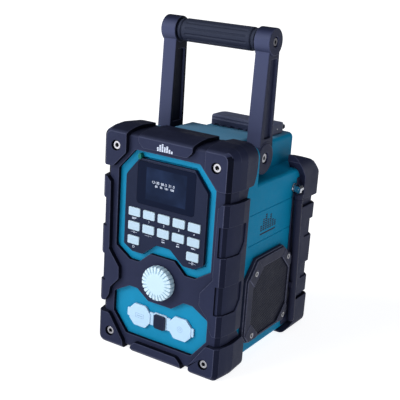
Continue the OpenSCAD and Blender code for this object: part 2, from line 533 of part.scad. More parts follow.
module antenna_whip() color([0.14, 0.14, 0.18]) place() at_joint() difference() {
    translate([0, 0, 0]) rotate_extrude() polygon([[0, -5.6], [whip_r1 - 1, -5.6], [whip_r1, -6.8], [whip_r1, -11], [whip_r1 - 0.5, -11.6], [whip_r1 - 0.5, -13],
        [whip_r1, -13.6], [whip_r1, -18], [whip_r1 - 0.6, -19], [whip_r1 - 0.6, -30], [whip_r2, -whip_len + 6], [whip_r2 - 0.5, -whip_len + 2.2], [whip_r2 - 1.8, -whip_len + 0.5],
        [whip_r2 - 3, -whip_len], [0, -whip_len]]);
    translate([0, 0, -13]) cylinder(h = 9, r = 2.6);
    box(-2.45, 2.45, -2.05, 2.05, -5.7, 0);
}
module antenna_clip() color([0.14, 0.14, 0.18]) place() {
    box(77.4, 78.3, 160.5, 174.5, -67, -60);
    box(77.4, 85.5, 160.5, 162, -67, -60);
    box(77.4, 85.5, 173, 174.5, -67, -60);
}

// ---- rear ---------------------------------------------------------------------------------------------------------
module rear_depth() ext_x(-100, 100) polygon([[157, 140], [157, 90], [164, 80], [171, 72], [172, 30], [176, -40], [178, -75], [178, -117],
    [170, -120.5], [158, -125.5], [158, -140], [230, -140], [230, 140]]);
// side outline of the rear corners that rise above the shelves
module horn(d) polygon([[140, -140], [140, 97.5 - d], [150, 98.5 - d], [158, 98 - d], [172 - d * 0.2, 95 - d],
    [188 - d * 0.4, 90 - d * 0.9], [197 - d * 0.6, 86 - d * 0.8], [203.5 - d * 0.7, 81 - d * 0.7], [209 - d * 0.85, 75.5 - d * 0.5],
    [212.5 - d, 69 - d * 0.2], [213 - d, -140]]);
module horn_slope() hull() {
    ext_x(-(hr - 3.6), hr - 3.6) horn(0);
    ext_x(-hr, hr) horn(3.6);
}
module rear_bumper() color([0.20, 0.21, 0.28]) place() difference() {
    union() {
        intersection() {
            union() {
                intersection() { env_rear(fr, -126.6, 96.5, 10, 16, 150, 205, 3); rear_depth(); }
                // thin skirt under the antenna
                difference() {
                    ext_y(157.5, 195) rrect(sx + 1.4, bot - 1.4, 96, 8);
                    both() box(75, 80, 150, ant[1] + 6.4, ant[2] - 6.4, 80);
                    box(-100, 100, 150, 200, 70, 140);
                    box(-100, 100, 150, 200, -140, -118);
                }
            }
            horn_slope();
        }
        intersection() {
            env_rear(hr, -129, 99, 10, 18, 150, 212, 4.6);
            rear_depth();
            horn_slope();
            union() {
                both() {
                    ext_y(150, 220) rpoly([[60, 120, 0], [60, 70, 4], [68, 43, 4], [95, 43, 0], [95, 120, 0]], 3);
                    ext_y(150, 220) rpoly([[46, -135, 0], [95, -135, 0], [95, -89, 0], [67, -89, 4], [46, -119, 4]], 3);
                }
                ext_y(150, 220) rpoly([[-35, -135, 0], [-35, -121.5, 5], [-28.5, -115.2, 5], [28.5, -115.2, 5], [35, -121.5, 5], [35, -135, 0]], 4);
            }
        }
        intersection() {
            env_rear(hr, -129, 99, 10, 18, 150, 207.5, 4.6);
            rear_depth();
            both() ext_y(150, 220) rpoly([[95, 33, 0], [74, 33, 2], [70, 28, 3], [70, -70, 3], [77, -83, 2], [95, -83, 0]], 3);
        }
    }
    // room for the housing and its cover
    ext_y(100, rear) rpoly([[-sx, bot, 7], [sx, bot, 7], [sx, shelf, 4], [-sx, shelf, 4]], 5);
    // only the corners rise above the shelves
    box(-66, 66, 140, rear, 60, 140);
    box(-66, 66, rear - 1, 230, 84, 140);
    // rear opening
    ext_y(190, 230) sym_poly([[44, -106, 4], [62, -86, 4], [62, 44, 4], [44, 64, 4]], 4);
    // sunken side panels
    difference() {
        both() for (q = [[-8, 13.5], [-62, -43]])
            ext_x(73, 100) rpoly([[184, q[0], 2], [230, q[0], 0], [230, q[1], 0], [184, q[1], 2]], 3);
        env_rear(hr - panel_sink, -127, 96, 9, 16, 150, 207.5 - 3.2, 4.4);
    }
    // corner screws
    both() for (z = [rs_z, -scr[1]]) {
        cyl_y(scr[0], z, 202.5, 220, 6);
        cyl_y(scr[0], z, 190, 210, 2.2);
    }
}
module rear_screws() color([0.75, 0.75, 0.77]) place() for (x = [-scr[0], scr[0]]) for (z = [-scr[1], rs_z]) translate([0, 205, 0])
    rotate([0, 0, 180]) screw_y(-x, z, 0, 4.6, 40);
module dc_socket() color([0.12, 0.12, 0.13]) place() {
    difference() {
        union() { cyl_y(-34, -92, 189, 197, 4.5); box(-40, -28, 182, 189, -97, -87); }
        cyl_y(-34, -92, 186, 198, 2.8);
    }
    cyl_y(-34, -92, 185.5, 195, 1);
}
module main_board() color([0.10, 0.35, 0.20]) place() {
    ext_y(26, 27.6) rpoly([[-62, -14, 0], [62, -14, 0], [62, 92, 0], [-62, 92, 0]], 1);
    for (x = [-57, 57]) for (z = [-9, 86]) cyl_y(x, z, 12, 26, 3);
    // largest parts on the board
    box(-20, 4, 27.6, 29.6, 30, 54);
    box(20, 40, 27.6, 35, -6, 24);
    for (i = [0 : 2]) cyl_y(-45 + i * 14, 8, 27.6, 40, 5);
}

main_housing();
front_fascia();
front_bumper();
front_screws();
display_panel();
display_window();
lcd_module();
status_light();
key_board();
rotary_encoder();
port_plate();
port_strap();
strap_keeper();
usb_socket();
audio_socket();
speaker_frame_right();
speaker_frame_left();
grille_right();
grille_left();
speaker_driver_right();
speaker_driver_left();
speaker_cone_right();
speaker_cone_left();
speaker_screws();
handle_pivot_screws();
battery_tub();
battery_pack();
battery_contacts();
antenna_fork();
antenna_clip();
rear_bumper();
rear_cover();
rear_screws();
dc_socket();
main_board();
lid_hinge_pin();
handle_arm_right();
handle_arm_left();
handle_grip();
handle_rod();
handle_cap_screws();
tuning_knob();
encoder_shaft();
key(0);  // key_preset
key(1);  // key_1
key(2);  // key_2
key(3);  // key_3
key(4);  // key_4
key(5);  // key_mode
key(6);  // key_info
key(7);  // key_tune_down
key(8);  // key_tune_up
key(9);  // key_scan
key(10);  // key_power
key(11);  // key_alarm
left_port_flap();
right_port_flap();
battery_lid();
antenna_whip();
antenna_knuckle();
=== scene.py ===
import json
import math
import random

import bmesh
import bpy
import numpy as np
from mathutils import Matrix, Vector

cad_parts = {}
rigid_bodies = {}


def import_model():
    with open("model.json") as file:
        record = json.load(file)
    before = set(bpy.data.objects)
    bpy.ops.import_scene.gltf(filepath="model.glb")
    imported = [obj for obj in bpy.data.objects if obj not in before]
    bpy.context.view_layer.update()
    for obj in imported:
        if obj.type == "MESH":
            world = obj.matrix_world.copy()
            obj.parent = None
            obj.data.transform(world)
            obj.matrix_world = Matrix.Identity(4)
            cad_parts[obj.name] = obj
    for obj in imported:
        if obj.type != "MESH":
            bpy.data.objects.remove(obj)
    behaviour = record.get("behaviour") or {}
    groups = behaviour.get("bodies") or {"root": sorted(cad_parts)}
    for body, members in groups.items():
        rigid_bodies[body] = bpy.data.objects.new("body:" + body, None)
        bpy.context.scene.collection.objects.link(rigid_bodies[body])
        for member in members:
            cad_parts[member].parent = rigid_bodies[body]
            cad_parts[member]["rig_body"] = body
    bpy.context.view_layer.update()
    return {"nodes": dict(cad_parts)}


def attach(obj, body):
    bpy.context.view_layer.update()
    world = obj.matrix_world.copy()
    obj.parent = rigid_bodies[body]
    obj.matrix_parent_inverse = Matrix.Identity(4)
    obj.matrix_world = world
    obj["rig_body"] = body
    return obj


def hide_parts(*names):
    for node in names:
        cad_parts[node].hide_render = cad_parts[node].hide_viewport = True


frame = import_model()
NODES = frame["nodes"]
BODY = {n: o["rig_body"] for n, o in NODES.items()}
random.seed(7)

# ---- working frame: x = 0 mid-plane, y = 0 front screw heads, z = 0 halfway between them, millimetres -----------------
XM, YM, ZF = 1.35, 102.95, 129.0


def P(x, y, z):
    return Vector(((x - XM) / 1000, (y - YM) / 1000, (z + ZF) / 1000))


# ---- materials --------------------------------------------------------------------------------------------------------
def srgb(r, g, b):
    f = lambda c: c / 12.92 if c <= 0.04045 else ((c + 0.055) / 1.055) ** 2.4
    return (f(r / 255), f(g / 255), f(b / 255), 1.0)


class Mat:
    """A small builder for node materials that work from the object's own coordinates."""

    def __init__(self, name):
        self.m = bpy.data.materials.new(name)
        self.m.use_nodes = True
        self.t = self.m.node_tree
        self.bsdf = self.t.nodes["Principled BSDF"]
        self.co = self.t.nodes.new("ShaderNodeTexCoord").outputs["Object"]

    def node(self, kind, **inputs):
        n = self.t.nodes.new(kind)
        for k, v in inputs.items():
            k = k.replace("_", " ")
            if isinstance(v, bpy.types.NodeSocket):
                self.t.links.new(v, n.inputs[k])
            elif hasattr(n, k.replace(" ", "_")) and k not in n.inputs:
                setattr(n, k.replace(" ", "_"), v)
            else:
                n.inputs[k].default_value = v
        return n

    def link(self, a, b):
        self.t.links.new(a, b)

    def noise(self, scale, detail=3.0, rough=0.55, co=None):
        n = self.t.nodes.new("ShaderNodeTexNoise")
        n.inputs["Scale"].default_value = scale
        n.inputs["Detail"].default_value = detail
        n.inputs["Roughness"].default_value = rough
        self.link(co or self.co, n.inputs["Vector"])
        return n.outputs["Fac"]

    def ramp(self, fac, stops):
        n = self.t.nodes.new("ShaderNodeValToRGB")
        e = n.color_ramp.elements
        e[0].position, e[0].color = stops[0]
        e[1].position, e[1].color = stops[1]
        for p, c in stops[2:]:
            x = e.new(p)
            x.color = c
        self.link(fac, n.inputs["Fac"])
        return n.outputs["Color"]

    def remap(self, fac, a, b, lo=0.3, hi=0.7):
        n = self.t.nodes.new("ShaderNodeMapRange")
        self.link(fac, n.inputs["Value"])
        n.inputs["From Min"].default_value = lo
        n.inputs["From Max"].default_value = hi
        n.inputs["To Min"].default_value = a
        n.inputs["To Max"].default_value = b
        return n.outputs["Result"]

    def mix(self, fac, a, b, kind="MIX"):
        n = self.t.nodes.new("ShaderNodeMix")
        n.data_type = "RGBA"
        n.blend_type = kind
        for sock, v in ((n.inputs[0], fac), (n.inputs[6], a), (n.inputs[7], b)):
            if isinstance(v, bpy.types.NodeSocket):
                self.link(v, sock)
            else:
                sock.default_value = v
        return n.outputs[2]

    def math(self, op, a, b=0.5, c=None):
        n = self.t.nodes.new("ShaderNodeMath")
        n.operation = op
        for i, v in enumerate((a, b) if c is None else (a, b, c)):
            if isinstance(v, bpy.types.NodeSocket):
                self.link(v, n.inputs[i])
            else:
                n.inputs[i].default_value = v
        return n.outputs[0]

    def bump(self, height, strength, distance):
        n = self.t.nodes.new("ShaderNodeBump")
        n.inputs["Strength"].default_value = strength
        n.inputs["Distance"].default_value = distance
        self.link(height, n.inputs["Height"])
        self.link(n.outputs["Normal"], self.bsdf.inputs["Normal"])
        return n

    def set(self, **kw):
        for k, v in kw.items():
            s = self.bsdf.inputs[k.replace("_", " ")]
            if isinstance(v, bpy.types.NodeSocket):
                self.link(v, s)
            else:
                s.default_value = v
        return self


def scaled(c, k):
    return tuple(min(1.0, x * k) for x in c[:3]) + (1.0,)


def moulded(name, base, rough=0.5, vary=0.10, grain=0.00006, grain_scale=2600, spec=0.5, dust=0.05, edge=0.25, coat=0.0, tint=(1, 1, 1, 1), top=0.0,
            worn=None, gain=1.0, span=(0.35, 0.95), top_tone=(0.30, 0.30, 0.37, 1), above=None):
    """Moulded plastic or rubber: a fine skin, slow tone changes, a painted highlight with light rubbing along the
    edges, and faint dust.
    A direction given in the piece's own axes paints a highlight on the faces that look that way, paler by gain.
    top mixes a painted tone into faces that look up, above a height if one is given: a dark tone paints shade, a pale
    one paints a reflection."""
    k = Mat(name)
    slow = k.noise(14, 3, 0.6)
    fine = k.noise(160, 4, 0.65)
    c = k.mix(k.remap(slow, 0, 1), scaled(base, 1 - vary), scaled(base, 1 + vary))
    c = k.mix(k.remap(fine, 0, 0.35, 0.45, 0.75), c, scaled(base, 1 + 2.0 * vary))
    # painted highlight with light rubbing on the rounded outer edges, broken up by noise
    att = k.t.nodes.new("ShaderNodeAttribute")
    att.attribute_name = "edge"
    edge_sheen_and_rub = k.math("MULTIPLY", att.outputs["Fac"], k.remap(k.noise(420, 5, 0.7), 0.35, 1.0, 0.35, 0.65))
    light = tuple(min(1.0, x * 2.6 + 0.05) for x in base[:3]) + (1.0,)
    c = k.mix(k.math("MULTIPLY", edge_sheen_and_rub, edge), c, light)
    # faint dust
    spot = k.remap(k.noise(700, 6, 0.75), 0, 1, 0.62, 0.76)
    c = k.mix(k.math("MULTIPLY", spot, dust), c, (0.32, 0.32, 0.34, 1))
    # painted light on faces that look up: shade or a reflection, depending on the tone given
    if top:
        geo = k.t.nodes.new("ShaderNodeNewGeometry")
        sp = k.t.nodes.new("ShaderNodeSeparateXYZ")
        k.link(geo.outputs["Normal"], sp.inputs[0])
        up = k.math("MULTIPLY", k.remap(sp.outputs[2], 0, 1, 0.75, 0.98), k.remap(k.noise(30, 4, 0.6), top * 0.7, top * 1.2))
        if above:
            hz = k.t.nodes.new("ShaderNodeSeparateXYZ")
            k.link(k.co, hz.inputs[0])
            up = k.math("MULTIPLY", up, k.remap(hz.outputs[2], 0, 1, above - 0.004, above))
        c = k.mix(up, c, top_tone)
    # painted highlight on the faces that look along the given direction
    if worn:
        tc = k.t.nodes.new("ShaderNodeTexCoord")
        dot = k.t.nodes.new("ShaderNodeVectorMath")
        dot.operation = "DOT_PRODUCT"
        k.link(tc.outputs["Normal"], dot.inputs[0])
        dot.inputs[1].default_value = Vector(worn).normalized()
        pale = (base[0] * gain * 1.04, base[1] * gain, base[2] * gain * 0.84, 1)
        c = k.mix(k.remap(dot.outputs["Value"], 0, 1, span[0], span[1]), c, pale)
    r = k.remap(k.noise(60, 4, 0.6), rough - 0.06, rough + 0.07)
    g = k.noise(grain_scale, 2, 0.5)
    k.bump(g, 0.35, grain)
    k.set(Base_Color=c, Roughness=r)
    k.set(Specular_IOR_Level=spec, Coat_Weight=coat, Coat_Roughness=0.15, Specular_Tint=tint)
    return k.m


COOL = (0.72, 0.82, 1.0, 1)
# edge in each material sets how strong the painted highlight along its rounded edges is
M = {
    # bumper: painted highlight on the bevels between front and top, painted shade on the tops, painted highlight on the
    # rounded edges
    "bumper": moulded("bumper_skin", srgb(35, 39, 61), rough=0.47, spec=0.055, grain=0.00007, grain_scale=2300, edge=0.6, dust=0.03, tint=COOL,
                      worn=(0, -0.75, 0.66), gain=2.0, span=(0.86, 0.98), top=0.45, top_tone=srgb(10, 11, 18)),
    # painted shade for the creases, low walls, notches and undersides of the bumpers
    "crease": moulded("bumper_crease", srgb(12, 14, 26), rough=0.6, spec=0.03, grain=0.00007, grain_scale=2300, edge=0.0, dust=0.02, tint=COOL),
    # lighter painted shade for the band beside the front plate, below z 66
    "band": moulded("bumper_band", srgb(23, 26, 44), rough=0.52, spec=0.04, grain=0.00007, grain_scale=2300, edge=0.0, dust=0.02, tint=COOL),
    # handle: painted highlight on the faces towards the front, painted shade on the tops
    "handle": moulded("handle_plastic", srgb(31, 35, 57), rough=0.44, spec=0.07, grain=0.00005, grain_scale=2900, edge=0.5, dust=0.03, tint=COOL,
                      worn=(-0.1, -1, 0.0), gain=2.9, span=(0.6, 0.99), top=0.4, top_tone=srgb(10, 11, 18)),
    # painted shade for the inner sides of the handle arms
    "handle_inner": moulded("handle_inner_side", srgb(15, 18, 31), rough=0.5, spec=0.05, grain=0.00005, grain_scale=2900, edge=0.1, dust=0.02, tint=COOL),
    "frame": moulded("frame_plastic", srgb(44, 46, 64), rough=0.48, spec=0.07, grain=0.00006, grain_scale=2600, edge=1.0, tint=COOL),
    "panel": moulded("panel_plastic", srgb(30, 35, 54), rough=0.55, spec=0.035, grain=0.00005, grain_scale=3000, edge=0.8, dust=0.02, tint=COOL),
    # grip: painted highlight on the upper front
    "grip": moulded("grip_rubber", srgb(27, 31, 47), rough=0.56, spec=0.08, grain=0.00009, grain_scale=1900, edge=0.15, dust=0.04, tint=COOL,
                    worn=(0, -0.8, 0.6), gain=1.9, span=(0.3, 0.98)),
    # lid: painted highlight on the top and the bevel over its front
    "lid": moulded("lid_plastic", srgb(50, 55, 78), rough=0.40, spec=0.08, grain=0.00004, edge=0.5, dust=0.03, tint=COOL,
                   worn=(0, -0.35, 1), gain=2.8, span=(0.75, 0.97)),
    "whip": moulded("whip_rubber", srgb(38, 40, 60), rough=0.46, spec=0.08, grain=0.00005, edge=0.1, dust=0.02, tint=COOL),
    "inner": moulded("inner_plastic", srgb(22, 22, 28), rough=0.6, spec=0.2),
    "socket": moulded("socket_shade", srgb(12, 12, 17), rough=0.8, spec=0.05, edge=0, dust=0),
    # teal housing: a pale painted reflection on the up-facing deck above the given height
    "teal": moulded("teal_housing", srgb(9, 118, 157), rough=0.46, vary=0.05, spec=0.03, grain=0.00004, grain_scale=2800, edge=0.12, dust=0.01, top=0.28, above=0.238),
    "teal_front": moulded("teal_panel", srgb(12, 120, 160), rough=0.46, vary=0.05, spec=0.08, grain=0.00004, grain_scale=2800, edge=0.12, dust=0.01),
    "pale": moulded("pale_knob", srgb(172, 198, 214), rough=0.44, vary=0.025, spec=0.3, grain=0.00003, grain_scale=3200, edge=0.3, dust=0.0),
    "key": moulded("pale_keys", srgb(155, 178, 196), rough=0.44, vary=0.025, spec=0.3, grain=0.00003, grain_scale=3200, edge=0.3, dust=0.0),
    "flap": moulded("pale_rubber", srgb(164, 194, 221), rough=0.55, vary=0.03, spec=0.25, grain=0.00006, grain_scale=2200, edge=0.35, dust=0.0),
    "flap_mark": moulded("flap_marks", srgb(140, 168, 196), rough=0.55, vary=0.03, spec=0.25, edge=0, dust=0),
    "board": moulded("circuit_board", srgb(28, 98, 62), rough=0.4, vary=0.12, spec=0.5),
    "cell": moulded("cell_wrap", srgb(30, 30, 36), rough=0.4, spec=0.5),
    "cone": moulded("paper_cone", srgb(38, 38, 42), rough=0.85, vary=0.15, spec=0.2, grain=0.00012, grain_scale=1400),
}


def metal(name, base, rough, brushed=0.0):
    k = Mat(name)
    n = k.noise(90, 4, 0.6)
    c = k.mix(k.remap(n, 0, 1), scaled(base, 0.86), scaled(base, 1.05))
    m = k.t.nodes.new("ShaderNodeMapping")
    m.inputs["Scale"].default_value = (1, 1, 40) if brushed else (1, 1, 1)
    k.link(k.co, m.inputs["Vector"])
    s = k.noise(900, 4, 0.6, m.outputs["Vector"])
    k.set(Base_Color=c, Roughness=k.remap(s, rough * 0.75, rough * 1.35), Metallic=1.0)
    k.bump(s, 0.25, 0.00004)
    return k.m


M["screw"] = metal("zinc_screw", (0.36, 0.36, 0.39), 0.34, 1)
M["screw_dark"] = metal("dark_screw", (0.10, 0.10, 0.115), 0.36, 1)
M["steel"] = metal("bright_steel", (0.5, 0.5, 0.53), 0.3, 1)
M["chrome"] = metal("polished_chrome", (0.48, 0.50, 0.55), 0.12)
M["brass"] = metal("contact_brass", (0.80, 0.62, 0.30), 0.25)
M["dark_metal"] = moulded("dark_painted_metal", srgb(33, 35, 50), rough=0.5, spec=0.10, grain=0.00003, edge=0.1, dust=0.05, tint=COOL)
M["basket"] = moulded("painted_basket", srgb(48, 48, 54), rough=0.4, spec=0.5)
M["grey_metal"] = metal("grey_case", (0.42, 0.43, 0.45), 0.35, 1)
M["print_white"] = moulded("light_print", srgb(196, 206, 226), rough=0.6, vary=0.04, spec=0.2, edge=0, dust=0)
M["print_dark"] = moulded("dark_print", srgb(20, 30, 50), rough=0.6, vary=0.04, spec=0.15, edge=0, dust=0)
M["light"] = moulded("light_pipe", srgb(4, 92, 84), rough=0.25, vary=0.08, spec=0.12, edge=0.08, dust=0)


def window_material():
    """Dark polished window. The field of the display shows behind it a little lighter."""
    k = Mat("dark_window")
    sep = k.t.nodes.new("ShaderNodeSeparateXYZ")
    k.link(k.co, sep.inputs[0])
    a, b = P(-26.4, 0, 57.2), P(26.8, 0, 94.2)

    def band(v, lo, hi, soft):
        u = k.math("SUBTRACT", v, lo)
        w = k.math("SUBTRACT", hi, v)
        m = k.math("MINIMUM", u, w)
        return k.remap(m, 0, 1, 0, soft)

    inside = k.math("MULTIPLY", band(sep.outputs[0], a.x, b.x, 0.0004), band(sep.outputs[2], a.z, b.z, 0.0004))
    cloud = k.remap(k.noise(40, 3, 0.5), 0, 1, 0.35, 0.7)
    field = k.mix(cloud, srgb(14, 23, 44), srgb(24, 36, 62))
    c = k.mix(inside, srgb(9, 16, 36), field)
    k.set(Base_Color=c, Roughness=k.remap(k.noise(300, 4, 0.6), 0.05, 0.10))
    k.set(Specular_IOR_Level=0.035, Coat_Weight=0.0, Specular_Tint=COOL)
    return k.m


M["window"] = window_material()


# ---- mesh helpers -----------------------------------------------------------------------------------------------------
def new_object(name, me, mat, body, node=None):
    ob = bpy.data.objects.new(name, me)
    bpy.context.scene.collection.objects.link(ob)
    me.materials.clear()
    for m in (mat if isinstance(mat, (list, tuple)) else [mat]):
        me.materials.append(m)
    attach(ob, body)
    for n in (node if isinstance(node, (list, tuple)) else [node] if node else []):
        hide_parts(n)
    return ob


def weighted(ob):
    w = ob.modifiers.new("normals", "WEIGHTED_NORMAL")
    w.mode = "FACE_AREA"
    w.weight = 60
    w.keep_sharp = True


def face_angle(e):
    return e.calc_face_angle(0.0) if len(e.link_faces) == 2 else 0.0


def clean_bmesh(me, merge=4e-6):
    bm = bmesh.new()
    bm.from_mesh(me)
    bmesh.ops.remove_doubles(bm, verts=bm.verts, dist=merge)
    bmesh.ops.dissolve_degenerate(bm, edges=bm.edges, dist=2e-6)
    bmesh.ops.dissolve_limit(bm, angle_limit=math.radians(0.6), verts=bm.verts, edges=bm.edges, delimit=set())
    bmesh.ops.recalc_face_normals(bm, faces=bm.faces)
    return bm


def soften(bm, rules, angle=30.0, clamp=False):
    """Rounds edges. rules is a list of (width in mm, segments, test of an edge), the first that fits is used.
    Strips cut into inner corners are marked in the face layer "foot", for a painted contact shadow; the middle of each
    of the other roundings is marked in the vertex layer "edge", for a painted highlight."""
    edge_layer = bm.verts.layers.float.get("edge") or bm.verts.layers.float.new("edge")
    foot = bm.faces.layers.int.new("foot")
    groups = {}
    for e in bm.edges:
        if face_angle(e) < math.radians(angle):
            continue
        for i, (w, seg, test) in enumerate(rules):
            if test is None or test(e):
                if w > 0:
                    groups.setdefault(i, []).append(e)
                break
    for i in sorted(groups):
        w, seg, _ = rules[i]
        es = [e for e in groups[i] if e.is_valid]
        before = set(bm.verts)
        r = bmesh.ops.bevel(bm, geom=es, offset=w / 1000, offset_type="OFFSET", segments=seg, profile=0.5,
                            affect="EDGES", clamp_overlap=clamp, loop_slide=True)
        inner = getattr(rules[i][2], "inner", False)
        for f in r["faces"]:
            # strips in inner corners: painted contact shadow
            if inner:
                f[foot] = 1
                continue
            # the middle of each rounding is marked for the painted highlight of the materials
            for v in f.verts:
                if all(len(x.link_faces) == 2 for x in v.link_edges) and all(g in r["faces"] for g in v.link_faces):
                    v[edge_layer] = 1.0
    return bm


def smooth_all(bm, sharp=40.0):
    for f in bm.faces:
        f.smooth = True
    for e in bm.edges:
        e.smooth = face_angle(e) < math.radians(sharp)


def is_convex(e):
    return e.is_convex


def refine(node, mat, rules=((0.6, 2, None),), angle=30.0, name=None, clamp=False, sharp=40.0, both=False, second=None, twin=None):
    """Shell of a CAD solid with rounded edges. second gives the material index of a face.
    twin names the same piece on the other side, whose mirrored solid is used instead."""
    me = NODES[twin or node].data.copy()
    if twin:
        for v in me.vertices:
            v.co.x = -0.002 * XM - v.co.x
    bm = clean_bmesh(me)
    test_rules = []
    for w, seg, t in rules:
        if t is None and not both:
            t = is_convex
        test_rules.append((w, seg, t))
    soften(bm, test_rules, angle, clamp)
    smooth_all(bm, sharp)
    bm.faces.index_update()
    foot = bm.faces.layers.int.get("foot")
    # strips in inner corners take material 1, the dark painted contact shadow
    others = [(f.index, 1 if f[foot] else second(f)) for f in bm.faces] if second else []
    bm.to_mesh(me)
    bm.free()
    me.name = name or node + "_mesh"
    ob = new_object(name or node + "_shell", me, mat, BODY[node], node)
    for p in me.polygons:
        p.material_index = 0
    for i, k in others:
        me.polygons[i].material_index = k
    weighted(ob)
    return ob


def mesh_object(name, verts, faces, mat, body, node=None, smooth=True, sharp=35.0, edge=None):
    me = bpy.data.meshes.new(name)
    bm = bmesh.new()
    lay = bm.verts.layers.float.new("edge")
    vs = [bm.verts.new(v) for v in verts]
    for f in faces:
        try:
            bm.faces.new([vs[i] for i in f])
        except ValueError:
            pass
    bmesh.ops.recalc_face_normals(bm, faces=bm.faces)
    if edge is not None:
        for v, x in zip(vs, edge):
            v[lay] = x
    if smooth:
        smooth_all(bm, sharp)
    bm.to_mesh(me)
    bm.free()
    ob = new_object(name, me, mat, body, node)
    if smooth:
        weighted(ob)
    return ob


def stroke_quads(points, w):
    """Outline of a line of width w through 2-D points, with mitred bends: list of (left, right)."""
    pts = [np.array(p, float) for p in points]
    closed = len(pts) > 2 and np.linalg.norm(pts[0] - pts[-1]) < 1e-9
    if closed:
        pts = pts[:-1]
    n = len(pts)
    out = []
    for i in range(n):
        a = pts[(i - 1) % n] if closed or i > 0 else None
        c = pts[(i + 1) % n] if closed or i < n - 1 else None
        d1 = None if a is None else (pts[i] - a) / max(np.linalg.norm(pts[i] - a), 1e-9)
        d2 = None if c is None else (c - pts[i]) / max(np.linalg.norm(c - pts[i]), 1e-9)
        if d1 is None:
            nrm, k = np.array([-d2[1], d2[0]]), 1.0
        elif d2 is None:
            nrm, k = np.array([-d1[1], d1[0]]), 1.0
        else:
            t = d1 + d2
            t = t / max(np.linalg.norm(t), 1e-9)
            nrm = np.array([-t[1], t[0]])
            k = 1.0 / max(0.5, abs(nrm @ np.array([-d2[1], d2[0]])))
        out.append((pts[i] + nrm * w / 2 * k, pts[i] - nrm * w / 2 * k))
    return out, closed


class Prints:
    """Thin printed or raised marks, gathered into one mesh: strokes and filled shapes on a plane."""

    def __init__(self, at, thick):
        self.at, self.thick, self.v, self.f = at, thick, [], []

    def _prism(self, loop):
        n, b = len(loop), len(self.v)
        area = sum(loop[i][0] * loop[(i + 1) % n][1] - loop[(i + 1) % n][0] * loop[i][1] for i in range(n))
        if area < 0:
            loop = loop[::-1]
        for h in (0.0, self.thick):
            self.v += [self.at(p[0], p[1], h) for p in loop]
        self.f.append(list(range(b, b + n)))
        self.f.append(list(range(b + n, b + 2 * n)))
        for i in range(n):
            j = (i + 1) % n
            self.f.append([b + i, b + j, b + n + j, b + n + i])

    def poly(self, pts):
        self._prism([tuple(p) for p in pts])

    def line(self, pts, w):
        q, closed = stroke_quads(pts, w)
        b = len(self.v)
        n = len(q)
        for l, r in q:
            self.v += [self.at(l[0], l[1], 0.0), self.at(r[0], r[1], 0.0), self.at(l[0], l[1], self.thick), self.at(r[0], r[1], self.thick)]
        for i in range(n if closed else n - 1):
            a, c = b + 4 * i, b + 4 * ((i + 1) % n)
            self.f += [[a, c, c + 1, a + 1], [a + 2, a + 3, c + 3, c + 2], [a, a + 2, c + 2, c], [a + 1, c + 1, c + 3, a + 3]]
        if not closed:
            e = b + 4 * (n - 1)
            self.f += [[b, b + 1, b + 3, b + 2], [e, e + 2, e + 3, e + 1]]

    def ring(self, x, z, r, w, a0=0, a1=360, n=28):
        pts = [(x + r * math.cos(math.radians(a0 + (a1 - a0) * i / n)), z + r * math.sin(math.radians(a0 + (a1 - a0) * i / n))) for i in range(n + 1)]
        if a1 - a0 >= 360:
            pts[-1] = pts[0]
        self.line(pts, w)

    def disc(self, x, z, r, n=24):
        self.poly([(x + r * math.cos(2 * math.pi * i / n), z + r * math.sin(2 * math.pi * i / n)) for i in range(n)])

    def rect(self, x0, x1, z0, z1):
        self.poly([(x0, z0), (x1, z0), (x1, z1), (x0, z1)])

    def make(self, name, mat, body):
        return mesh_object(name, self.v, self.f, mat, body, smooth=False)


def front_at(y):
    return lambda x, z, h: P(x, y - h, z)


DIGITS = {
    "0": [[(-0.5, 0.7), (-0.25, 1), (0.25, 1), (0.5, 0.7), (0.5, -0.7), (0.25, -1), (-0.25, -1), (-0.5, -0.7), (-0.5, 0.7)]],
    "1": [[(-0.35, 0.6), (0.05, 1), (0.05, -1)]],
    "2": [[(-0.5, 0.65), (-0.25, 1), (0.25, 1), (0.5, 0.65), (0.5, 0.25), (-0.5, -1), (0.5, -1)]],
    "3": [[(-0.5, 1), (0.5, 1), (0, 0.2), (0.35, 0.1), (0.5, -0.25), (0.5, -0.65), (0.25, -1), (-0.25, -1), (-0.5, -0.7)]],
    "4": [[(0.3, -1), (0.3, 1), (-0.6, -0.4), (0.6, -0.4)]],
    "5": [[(0.5, 1), (-0.45, 1), (-0.5, 0.1), (0.2, 0.15), (0.5, -0.2), (0.5, -0.65), (0.2, -1), (-0.25, -1), (-0.5, -0.75)]],
    "6": [[(0.45, 0.9), (0.1, 1), (-0.3, 0.8), (-0.5, 0.2), (-0.5, -0.65), (-0.25, -1), (0.25, -1), (0.5, -0.65), (0.5, -0.3), (0.25, 0), (-0.25, 0), (-0.5, -0.3)]],
    "7": [[(-0.5, 1), (0.5, 1), (-0.1, -1)]],
    "8": [[(-0.25, 0), (-0.45, 0.3), (-0.45, 0.7), (-0.2, 1), (0.2, 1), (0.45, 0.7), (0.45, 0.3), (0.25, 0), (-0.25, 0), (-0.5, -0.35), (-0.5, -0.7), (-0.2, -1), (0.2, -1), (0.5, -0.7), (0.5, -0.35), (0.25, 0)]],
    "9": [[(-0.4, -0.9), (0.1, -1), (0.45, -0.6), (0.5, 0.3), (0.5, 0.65), (0.25, 1), (-0.25, 1), (-0.5, 0.65), (-0.5, 0.3), (-0.25, 0), (0.3, 0), (0.5, 0.3)]],
}


